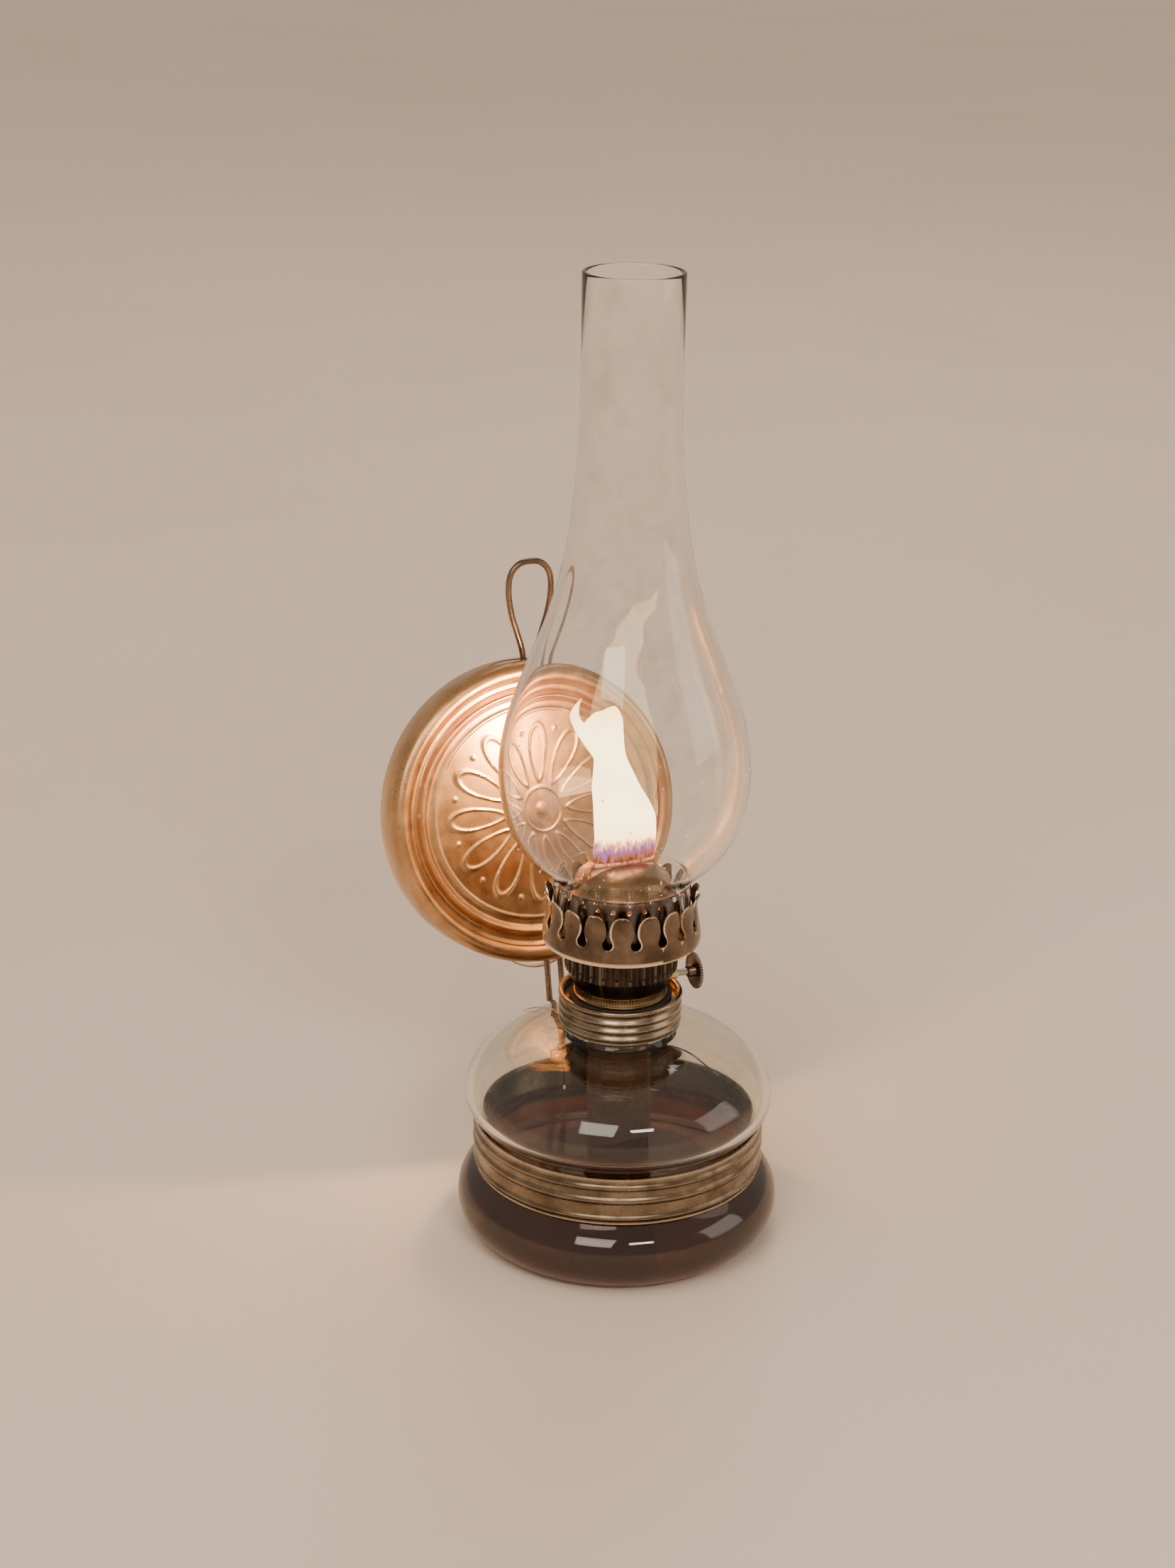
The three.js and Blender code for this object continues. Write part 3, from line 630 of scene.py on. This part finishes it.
def build_collar():
    wall, crest, shelf, thread = 20.3, widest("neck_collar") - 0.02, 86.1, 14.95
    low, top = heights("neck_collar")
    inside = wall - SHEET
    outside = [(wall, low), (wall + 0.35, low + 0.15)]
    for z in (78.9, 81.8, 84.7):
        outside += rib(wall, crest - 0.1, z, 1.4)
    rim = arc(wall - 0.15, top - 1.05, 1.05, -50, 180, 16)
    inner = fillet([(wall - 1, shelf), (thread, shelf), (thread, low), (thread + SHEET, low),
                    (thread + SHEET, shelf - SHEET), (inside, shelf - SHEET), (inside, low + 0.1)], 0.3)
    collar = clean(lathe("neck_collar_tin", outside + rim + inner, 176))
    collar.data.materials.append(TIN)
    place_mesh(collar, "lamp", ["neck_collar"])


def build_band():
    wall, crest, inner = 49.4, widest("waist_band"), 48.6
    low, high = heights("waist_band")
    outside = [(wall, low)]
    for z, out, half in ((27.5, crest - 0.15, 1.5), (34, crest, 1.9), (38.8, crest - 0.1, 1.7)):
        outside += rib(wall, out, z, half)
    profile = outside + fillet([(wall, high), (inner, high), (inner, low)], 0.2, closed=False)
    split = 0.6
    band = clean(lathe("waist_band_tin", profile, 240, start=90 + split, sweep=360 - 2 * split))
    band.data.materials.append(BAND_TIN)
    place_mesh(band, "lamp", ["waist_band"])


# ---- Burner ---------------------------------------------------------------------------------------

def build_burner_base():
    crest, root, band, inner = 14.6, 14.1, 15.5, 13.5
    low, top = heights("burner_base")
    ring = heights("collar_gasket")[1] + 0.3
    outside = [(root, low)]
    for turn in range(4):
        outside += rib(root, crest, low + 1.4 + 2 * turn, 0.9, 6)
    lip = fillet([(root, ring - 0.2), (band + 0.5, ring), (band + 0.5, ring + 0.7), (band, ring + 1)],
                 0.2, closed=False)
    knurls, knurl_low, knurl_high = 96, ring + 1.25, top - 0.35
    wall = [(band, ring + 1.15), (band, knurl_low), (band, knurl_high), (band, top)]
    inside = [(band - SHEET, top), (inner, ring + 1), (inner, low)]

    def knurled(r, angle, z):
        milled = knurl_low <= z <= knurl_high and r > band - 0.1
        return r - 0.09 * (1 + math.cos(knurls * angle)) if milled else r

    base = clean(lathe("burner_base_brass", outside + lip + wall + inside, 384, radius=knurled), 0.0002)
    base.data.materials.append(BRASS)
    place_mesh(base, "burner", ["burner_base"])


FLUTES = 26


def build_basket():
    low, top = heights("air_basket")
    neck, radius, cone = 15.7, 19, 97.2
    slot_low, slot_high, slot_half = 99.6, 105.2, 0.4 / radius
    side = fillet([(neck, low), (neck + 0.5, low + 0.8), (radius - 0.4, cone), (radius, cone + 0.6),
                   (radius, slot_low)], 0.5, closed=False)
    rows = np.linspace(slot_low, slot_high, 9)[1:]
    side += [(radius, z) for z in rows] + [(radius, slot_high + 0.6), (radius, top)]

    def fluted(r, angle, z):
        depth = min(1, max(0, (z - cone) / 1.2))
        wave = math.cos(angle * 2 * FLUTES)
        return r + 0.3 * depth * (abs(wave) ** 0.7 * math.copysign(1, wave))

    def slotted(angle, z):
        beside = (angle * FLUTES / (2 * math.pi)) % 1 - 0.5
        return slot_low < z < slot_high and abs(beside) * 2 * math.pi / FLUTES < slot_half

    basket = lathe("air_basket_tin", side, FLUTES * 18, closed=False, radius=fluted, hole=slotted)
    clean(basket, 0.0002, outward=False)
    thicken(basket, 0.7)
    window = tube("window", [(8, -5, 93.6), (19, -5, 93.6), (30, -5, 93.6)], 2.1, 32)
    cut(basket, clean(window))
    basket.data.materials.append(DARK_TIN)
    place_mesh(basket, "burner", ["air_basket"])


PETALS = 18


def gallery_radius(z):
    heights_mm = (107.3, 107.45, 108.1, 109.8, 113, 117, 121, 123.5, 125.6)
    radii_mm = (24.6, 25.6, 26.5, 26.88, 26.55, 26.0, 25.6, 25.6, 25.95)
    return float(np.interp(z, heights_mm, radii_mm))


def build_gallery():
    """A stamped cup whose wall is a ring of petals, parted by keyhole-shaped gaps."""
    low, top = heights("gallery_crown")
    span = 26.7
    pitch = math.pi * span / PETALS
    keyhole, keyhole_z, neck, neck_z = 1.8, 115.8, 0.6, 119.6
    rows = [(17.6, low, 0), (21, low, 0), (24, low, 0), (25.3, low + 0.25, 0)]
    rows += [(None, z, 0) for z in (108.1, 108.9, 109.8, 111, 112.3, 113.4)]
    for step in range(12):
        a = math.radians(125 * step / 11)
        rows.append((None, keyhole_z - keyhole * math.cos(a), keyhole * math.sin(a)))
    rows += [(None, z, gap) for z, gap in ((117.6, 1.1), (118.3, 0.82), (119, 0.66), (neck_z, neck))]
    for step in range(1, 15):
        a = math.radians(88 * step / 14)
        round_tip = (pitch - neck) * math.cos(a) ** 0.86
        rows.append((None, neck_z + (top - neck_z) * math.sin(a), pitch - round_tip))

    # Each gap is a little off its place, so the petals between them differ in width.
    gaps = [(i + 0.85) * 360 / PETALS + rng.uniform(-1.3, 1.3) for i in range(PETALS)]
    columns = 18
    verts, faces = [], []
    for petal, start in enumerate(gaps):
        end = gaps[(petal + 1) % PETALS] + (360 if petal == PETALS - 1 else 0)
        middle, width = math.radians((start + end) / 2), math.radians(end - start) / 2 * span
        bend = rng.uniform(-0.3, 0.3)
        first = len(verts)
        for flat_radius, z, gap in rows:
            reach = max(0.0, (z - 114) / 11.6)
            half = max(0.05, width - gap * (1 if z < neck_z else width / pitch))
            for k in range(columns + 1):
                u = 2 * k / columns - 1
                hollow = 0.5 * (u * half / pitch) ** 2 * min(1, 3 * reach)
                flare = 0.8 * max(0, (z - 121) / 4.6) ** 2
                r = flat_radius or gallery_radius(z) + bend * reach ** 1.5 - hollow + flare
                a = middle + u * half / span
                verts.append((r * math.cos(a), r * math.sin(a), z))
        for row in range(len(rows) - 1):
            for k in range(columns):
                at = first + row * (columns + 1) + k
                faces.append([at, at + 1, at + columns + 2, at + columns + 1])
    crown = clean(mesh_piece("gallery_crown_brass", verts, faces), 0.004, outward=False)
    thicken(crown)
    crown.data.materials.append(GALLERY)
    place_mesh(crown, "burner", ["gallery_crown"])
    soften(crown, 0.14, 50)


def build_dome():
    """A drum with a ring of small holes under a rounded top, slotted for the wick."""
    low, top = heights("dome_cap")
    radius = widest("dome_cap")
    drum_top = 126.2
    side = [(radius, low), (radius, low + 0.5), (radius, low + 0.9), (radius, 112), (radius, 118),
            (radius, 123), (radius, drum_top)]
    crown = spline([(radius, drum_top), (16.75, 127.4), (16.0, 129.3), (14.3, 131.3), (10.4, 133.6),
                    (5.5, 134.9), (0.02, top)], 6)[1:-1]
    dome = lathe("dome_cap_brass", side + [tuple(p) for p in crown] + [(0, top)], 180, closed=False)
    clean(dome, outward=False)
    thicken(dome)
    cutters = [prism(stadium(29, 6.6), 126.6, top + 2)]
    holes, hole_z, hole_radius = 20, 123.8, 0.85
    drill, drill_faces = prism(arc(0, hole_z, hole_radius, 0, 345, 23), 15, 18.5)
    for hole in range(holes):
        turn = Matrix.Rotation((hole + 0.15) * 2 * math.pi / holes, 3, "Z")
        cutters.append(([turn @ Vector((out, y, z)) for y, z, out in drill], drill_faces))
    cut(dome, clean(gather("dome_cutters", cutters)))
    dome.data.materials.append(dome_and_shade_look())
    place_mesh(dome, "dome", ["dome_cap"])
    soften(dome, 0.1, 50)


def build_knob():
    """A thin dished disc with a notched rim, on the outer end of the spindle."""
    low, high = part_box("wick_knob")
    middle = (low + high) / 2
    radius, teeth, bore = 6.3, 40, 1.25
    profile = fillet([(bore, -2.6), (2.1, -2.6), (2.4, -0.2), (5.2, -0.15), (radius, -0.35), (radius, 0.65),
                      (5.3, 0.85), (5.0, 0.62), (3.4, 1.15), (2.2, 1.3), (bore, 0.7)], 0.2)

    def notched(r, angle, z):
        return r * (1 + 0.022 * math.cos(angle * teeth)) if r > radius - 0.35 else r

    knob = clean(lathe("wick_knob_tin", profile, teeth * 8, radius=notched), 0.0002)
    place = Matrix.Translation((25.2, (middle.y - AXIS.y) / MM, (middle.z - FOOT) / MM))
    knob.data.transform(place @ Matrix.Rotation(math.pi / 2, 4, "Y"))
    knob.data.materials.append(KNOB_TIN)
    place_mesh(knob, "winder", ["wick_knob"])


def build_wick():
    """A flat woven strip: straight in its tube, wavy where it hangs in the fuel, ragged at the burnt edge."""
    low, top = heights("wick")
    width, thick = 23.4, 1.7
    columns, rows = 46, 150
    free_top = 76

    def surface(u, v, side):
        z = low + (top - low) * v
        loose = max(0.0, (free_top - z) / (free_top - low))
        wave = 1.6 * loose * math.sin(z / 9) + 0.5 * loose * math.sin(u * 3 + z / 5)
        edge = 0.35 * noise.noise((0, z * 0.6, u)) * (abs(u) > 0.98)
        weave = 0.07 * math.sin(u * 40) * math.sin(z * 3.4)
        half = thick / 2 * (1 - abs(u) ** 12)
        burnt = 0.7 * noise.noise((u * 7, 3.1, side * 0.2)) * (v > 0.999)
        return (u * width / 2 + edge, wave + side * (half + weave * (abs(u) < 0.97)), z + burnt)

    verts, faces = [], []
    for side in (-1, 1):
        for j in range(rows + 1):
            for i in range(columns + 1):
                verts.append(surface(2 * i / columns - 1, j / rows, side))
    line = columns + 1
    sheet = line * (rows + 1)
    for j in range(rows):
        for i in range(columns):
            at = j * line + i
            faces.append([at, at + 1, at + line + 1, at + line])
            faces.append([sheet + at, sheet + at + line, sheet + at + line + 1, sheet + at + 1])
        for i in (0, columns):
            at = j * line + i
            faces.append([at, at + line, sheet + at + line, sheet + at])
    for i in range(columns):
        for j in (0, rows):
            at = j * line + i
            faces.append([at, at + 1, sheet + at + 1, sheet + at])
    wick = clean(mesh_piece("wick_cotton", verts, faces), 0.003)
    wick.data.materials.append(wick_look(low, top))
    place_mesh(wick, "wick", ["wick"], sharp=80)


def build_flame():
    """A flat-wick flame: a violet root on the wick, then broad, narrow at its waist, and torn at the top."""
    root = heights("wick")[1] - 0.7
    burning = 8.5                       # height of the violet root
    drift = math.tan(math.radians(12))  # hot air rises upright while the lamp hangs leaning forward

    def tongue(spine, depth):
        """A closed tongue of flame; the spine's rows are (height over the root, middle x, half width)."""
        rings = spline(spine, 6)
        sides = 40
        verts, faces = [], []
        for h, x, half in rings:
            rise = max(0.0, h + burning)
            deep = min(depth, max(half, 0.05) * 0.9) * (0.5 + 0.5 * min(1, rise / 16))
            for k in range(sides):
                a = 2 * math.pi * k / sides
                spot = (x + max(half, 0.05) * math.cos(a), drift * rise + deep * math.sin(a), root + rise)
                verts.append(spot)
        for j in range(len(rings) - 1):
            for k in range(sides):
                n = (k + 1) % sides
                faces.append([j * sides + k, j * sides + n, (j + 1) * sides + n, (j + 1) * sides + k])
        faces.append(list(range(sides))[::-1])
        faces.append([(len(rings) - 1) * sides + k for k in range(sides)])
        return verts, faces

    body = tongue([(-8.5, 0.1, 11.2), (-4, 0.8, 11.5), (0, 1.6, 11.3), (5.4, 1.7, 11.2),
                   (10, 0.9, 10.3), (15, -0.3, 8.9), (20.5, -1.3, 7.3), (26, -2.1, 5.9),
                   (30, -2.9, 6.2), (34, -3.9, 7.1), (36.5, -3.9, 7.3), (38.6, -2.9, 6.4),
                   (40.2, -1.5, 4.7), (41.4, 0.0, 2.8), (42.2, 1.0, 1.2), (42.7, 1.4, 0.1)], 4.2)
    flick = tongue([(27, -5.2, 3.0), (31, -7.6, 3.2), (34.5, -10.0, 3.0), (37.5, -11.8, 2.4),
                    (40, -12.8, 1.8), (42.5, -13.0, 1.3), (45, -12.3, 0.8), (47.5, -10.9, 0.1)], 2.8)
    flame = clean(gather("flame", [body, flick]))
    remesh = flame.modifiers.new("merge", "REMESH")
    remesh.mode = "VOXEL"
    remesh.voxel_size = 0.45
    bake_modifiers(flame)
    smooth = flame.modifiers.new("soften", "SMOOTH")
    smooth.factor = 0.6
    smooth.iterations = 5
    bake_modifiers(flame)
    top = max(v.co.z for v in flame.data.vertices)
    for vertex in flame.data.vertices:
        h = (vertex.co.z - root) / (top - root)
        vertex.co.x += 1.1 * h * noise.noise(Vector((0.3, vertex.co.y * 0.15, vertex.co.z * 0.16)))
        vertex.co.y += 0.5 * h * noise.noise(vertex.co * 0.22)
        vertex.co.z += 4 * max(0, h - 0.76) * noise.noise(Vector((vertex.co.x * 0.33, 1.7, 0)))
    flame.data.materials.append(flame_look(root, root + burning, top))
    place_mesh(flame, "dome", sharp=180)


# ---- Chimney --------------------------------------------------------------------------------------

CHIMNEY_WALL = 1.5
CHIMNEY_BASE = 23.1


def chimney_side():
    """The outside of the chimney from its straight base to the start of its straight top."""
    bulge = widest("chimney")
    knots = [(CHIMNEY_BASE, 129), (24.2, 131.6), (33.2, 140), (39.4, 151.5), (bulge, 168), (39.6, 184.5),
             (33.4, 203), (26, 222), (20.2, 245), (17, 275), (16.2, 305)]
    return spline(knots, 9)


def build_chimney():
    low, top = heights("chimney")
    mouth = 16.4
    side = chimney_side()
    outer = [(CHIMNEY_BASE, low + 0.7), (CHIMNEY_BASE, 118), (CHIMNEY_BASE, 127.6)]
    inner = [(r - CHIMNEY_WALL, z) for r, z in outer]
    for i, point in enumerate(side):
        along = side[min(i + 1, len(side) - 1)] - side[max(i - 1, 0)]
        along /= np.linalg.norm(along)
        outer.append(tuple(point))
        inner.append((point[0] - CHIMNEY_WALL * along[1], point[1] + CHIMNEY_WALL * along[0]))
    half = CHIMNEY_WALL / 2
    rim = arc(mouth - half, top - half, half, 0, 180, 10)
    foot = arc(CHIMNEY_BASE - half, low + half, half, 180, 360, 10)
    chimney = clean(lathe("chimney_glass", foot + outer + rim + inner[::-1], 192))
    chimney.data.materials.append(CHIMNEY_GLASS)
    place_mesh(chimney, "chimney", ["chimney"], sharp=60)

    # Specks of dust on the outside, thickest low on the bulge.
    parts = []
    specks = 300
    for _ in range(specks):
        spot = side[int(len(side) * 0.62 * rng.random() ** 1.3)]
        angle = rng.uniform(0, 2 * math.pi)
        size = rng.choice((0.12, 0.15, 0.2, 0.3))
        z = spot[1] + rng.uniform(-1.5, 1.5)
        middle = Vector((spot[0] * math.cos(angle), spot[0] * math.sin(angle), z))
        bm = bmesh.new()
        bmesh.ops.create_icosphere(bm, subdivisions=1, radius=size)
        stretch = rng.uniform(0.5, 2.2)
        verts = [middle + Vector((v.co.x, v.co.y, v.co.z * stretch)) for v in bm.verts]
        parts.append((verts, [[v.index for v in f.verts] for f in bm.faces]))
        bm.free()
    dust = gather("chimney_dust", parts)
    # The dust's material carries a painted glow for the flame's light on the specks.
    dust.data.materials.append(dust_and_glow_look())
    place_mesh(dust, "chimney")


# ---- Hanger wire and reflector ----------------------------------------------------------------------

LEAN = math.radians(13)


def leg(z):
    """How far back the hanger's straight legs are at a height."""
    return 54.7 + (z - 51.3) * math.tan(LEAN)


def build_wire():
    half = [
        (2.6, 52, 27), (2.6, 52, 34), (2.6, 52.2, 41), (2.6, leg(48) + 0.1, 48), (2.6, leg(60), 60),
        (2.6, leg(95), 95), (2.6, leg(130), 130), (2.6, leg(160), 160), (2.6, leg(176), 176),
        (2.8, 85.2, 184), (4.7, 85.4, 191), (6.8, 85.4, 198), (8, 85.4, 206), (7.3, 85.4, 212.4),
        (4.3, 85.4, 216.1),
    ]
    points = [(-x, y, z) for x, y, z in half] + [(0, 85.4, 217)] + half[::-1]
    wire = clean(tube("hanger_wire_steel", [Vector(p) for p in spline(points, 8)], 1.1, 24))
    wire.data.materials.append(WIRE)
    place_mesh(wire, "lamp", ["hanger_wire"])


def smoothstep(low, high, value):
    t = min(1, max(0, (value - low) / (high - low)))
    return t * t * (3 - 2 * t)


def embossing(r, angle):
    """Height of the pattern pressed in the pan's face: boss, ring, outlined petals, beads and rim line."""
    rise = 0.55 * smoothstep(3.4, 0.8, r) + 0.42 * math.exp(-((r - 8.6) / 0.42) ** 2)
    petals, middle, length, width, line = 12, 22.0, 10.4, 3.5, 0.36
    step = 2 * math.pi / petals
    off = (angle / step - round(angle / step)) * step
    along, across = r * math.cos(off) - middle, r * math.sin(off)
    q = math.hypot(along / length, across / (width * (1 + 0.3 * along / length)))
    rise += 0.42 * math.exp(-(((q - 1) * width) / line) ** 2)
    off = ((angle / step) % 1 - 0.5) * step
    q = math.hypot(r * math.cos(off) - 31, r * math.sin(off))
    rise += 0.5 * max(0, 1 - q * q)
    return rise + 0.6 * math.exp(-((r - 38.0) / 0.5) ** 2)


def build_reflector():
    """In the pan's own frame +Z faces out of the pan and +Y is its upper edge."""
    skirt, back = 54.2, -11.5
    ridge = [(42.9 + 2.5 * k / 12, 0.95 + 0.95 * math.cos(math.pi * k / 12)) for k in range(-12, 13)]
    plain = fillet([(39.7, 0), *ridge, (46.6, 0.15), *arc(50.9, 0.7, 3.1, 168, 22, 22), (skirt - 0.12, 1.1),
                    (skirt, 0.4), (skirt, -4), (skirt, back)], 0.35, closed=False)
    fine = [0.45 * k for k in range(1, 88)]
    profile = [(0, 0)] + [(r, 0) for r in fine if r < 39.4] + plain
    segments = 480
    angles = [2 * math.pi * k / segments for k in range(segments)]
    verts = [(0, 0, embossing(0, 0))]
    for r, z in profile[1:]:
        for a in angles:
            lift = embossing(r, a) if z == 0 and r < 39.5 else 0
            verts.append((r * math.cos(a), r * math.sin(a), z + lift))
    faces = [[0, 1 + k, 1 + (k + 1) % segments] for k in range(segments)]
    for ring in range(len(profile) - 2):
        for k in range(segments):
            a, b = 1 + ring * segments + k, 1 + ring * segments + (k + 1) % segments
            faces.append([a, a + segments, b + segments, b])
    pan = clean(mesh_piece("reflector_tin", verts, faces), 0.001, outward=False)
    thicken(pan)

    half, height, slot_z = 13, 6.4, -5.6
    lens = [(-half + 2 * half * k / 20, slot_z - height / 2 * (1 - (k / 10 - 1) ** 2)) for k in range(21)]
    lens += [(half - 2 * half * k / 20, slot_z + height / 2 * (1 - (k / 10 - 1) ** 2)) for k in range(1, 20)]
    parts = []
    for side in (1, -1):
        verts, faces = prism(lens, -6, 6)
        verts = [(x, side * skirt + depth, z) for x, z, depth in verts]
        parts.append((verts, faces))
    cut(pan, clean(gather("slots", parts)))

    # The strip of sheet lanced out of the lower slot stands out below it as a strap.
    rows = []
    for k in range(33):
        t = k / 16 - 1
        x = 13.4 * t
        drop = 4.2 * (1 - t * t)
        rows.append((x, -math.sqrt((skirt - 0.25) ** 2 - x * x) - drop))
    verts, faces = [], []
    for x, y in rows:
        for z in (back + 0.1, back + 3.4):
            for inward in (0, SHEET):
                verts.append((x, y + inward, z))
    for i in range(len(rows) - 1):
        a, b = 4 * i, 4 * (i + 1)
        faces += [[a, b, b + 2, a + 2], [a + 1, a + 3, b + 3, b + 1],
                  [a, a + 1, b + 1, b], [a + 2, b + 2, b + 3, a + 3]]
    end = 4 * (len(rows) - 1)
    faces += [[0, 2, 3, 1], [end, end + 1, end + 3, end + 2]]
    strap = clean(mesh_piece("reflector_strap", verts, faces))

    tilt = Matrix.Translation((-4.5, 67.2, 129.9)) @ Matrix.Rotation(math.pi / 2 - LEAN, 4, "X")
    look = reflector_look()
    for piece, nodes in ((pan, ["reflector_pan"]), (strap, [])):
        piece.data.transform(tilt)
        piece.data.materials.append(look)
        place_mesh(piece, "reflector", nodes, sharp=50)


# ---- CAD nodes that keep their own shape ------------------------------------------------------------

def finish_cad_nodes():
    looks = {
        "collar_plaster": plaster_look(),
        "collar_gasket": gasket_look(),
        "burner_floor": BRASS,
        "spindle_bush": BRASS,
        "gallery_floor": GALLERY,
        "wick_tube": BRASS,
        "vent_tube": BRASS,
        "wick_spindle": STEEL,
        "wick_wheel_left": STEEL,
        "wick_wheel_right": STEEL,
        "wire_saddle": BAND_TIN,
    }
    for node, look in looks.items():
        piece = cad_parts[node]
        piece.data.materials.clear()
        piece.data.materials.append(look)
        soften(piece, 0.1)


# ---- Studio ---------------------------------------------------------------------------------------

def soft_light(name, spot, aim, size, watts, colour=(1, 0.91, 0.8)):
    data = bpy.data.lights.new(name, "AREA")
    data.shape = "RECTANGLE"
    data.size, data.size_y = size
    data.energy = watts
    data.color = colour
    lamp = bpy.data.objects.new(name, data)
    lamp.location = spot
    lamp.rotation_euler = (Vector(aim) - Vector(spot)).to_track_quat("-Z", "Y").to_euler()
    scene.collection.objects.link(lamp)
    return lamp


def build_studio():
    middle = TO_FRAME @ Vector((0, 0, 150))
    soft_light("key", middle + Vector((-1.1, -1.3, 1.2)), middle, (0.9, 0.9), 13)
    soft_light("fill", middle + Vector((1.5, -0.9, 0.5)), middle, (1.0, 1.0), 5)
    soft_light("rim", middle + Vector((0.7, 1.3, 1.9)), middle, (0.8, 0.8), 7)
    soft_light("strip", middle + Vector((-0.1, -1.5, 1.0)), middle, (0.5, 0.16), 7)
    data = bpy.data.lights.new("daylight", "SUN")
    data.energy = 1.3
    data.angle = math.radians(40)
    data.color = (1, 0.9, 0.78)
    daylight = bpy.data.objects.new("daylight", data)
    daylight.rotation_euler = Vector((0.5, 0.35, -1)).to_track_quat("-Z", "Y").to_euler()
    scene.collection.objects.link(daylight)
    # The flame's own light on the reflector, made by a lamp because the chimney's glass makes it noisy.
    flame_side = TO_FRAME @ Vector((-2, 43.5, 160))
    pan_middle = TO_FRAME @ Vector((-5, 70, 140))
    glow = soft_light("glow", flame_side, pan_middle, (0.012, 0.03), 0.28, (1, 0.6, 0.28))
    glow.visible_camera = False
    # Two small lights inside the dome stand in for the glow of the wick under it.
    for side in (-1, 1):
        data = bpy.data.lights.new("ember", "POINT")
        data.energy = 0.06
        data.shadow_soft_size = 0.002
        data.color = (1, 0.5, 0.2)
        ember = bpy.data.objects.new("ember", data)
        ember.location = TO_FRAME @ Vector((0, 9 * side, 125.5))
        scene.collection.objects.link(ember)

    # A round floor, in metres, wide enough that its edge is lost in the distance.
    floor = lathe("floor", [(0, 0), (0.5, 0), (2, 0), (8, 0), (40, 0)], 96, closed=False)
    floor.data.transform(Matrix.Translation((0, 0, FOOT - 0.0004)))
    look = Look("floor").set(Roughness=0.75)
    shade = look.ramp(look.noise(3, 3), (0.3, (0.62, 0.5, 0.4)), (0.7, (0.65, 0.525, 0.425)))
    look.drive("Base Color", shade)
    floor.data.materials.append(look.material)
    # The wide sun lights the floor alone, to even it out.
    sunlit = bpy.data.collections.new("sunlit")
    sunlit.objects.link(floor)
    daylight.light_linking.receiver_collection = sunlit

    world = bpy.data.worlds.new("studio")
    world.use_nodes = True
    world.node_tree.nodes["Background"].inputs["Color"].default_value = (1.0, 0.85, 0.7, 1)
    world.node_tree.nodes["Background"].inputs["Strength"].default_value = 0.5
    scene.world = world


build_font()
build_fuel()
build_collar()
build_band()
build_burner_base()
build_basket()
build_gallery()
build_dome()
build_knob()
build_wick()
build_flame()
build_chimney()
build_wire()
build_reflector()
finish_cad_nodes()
build_studio()
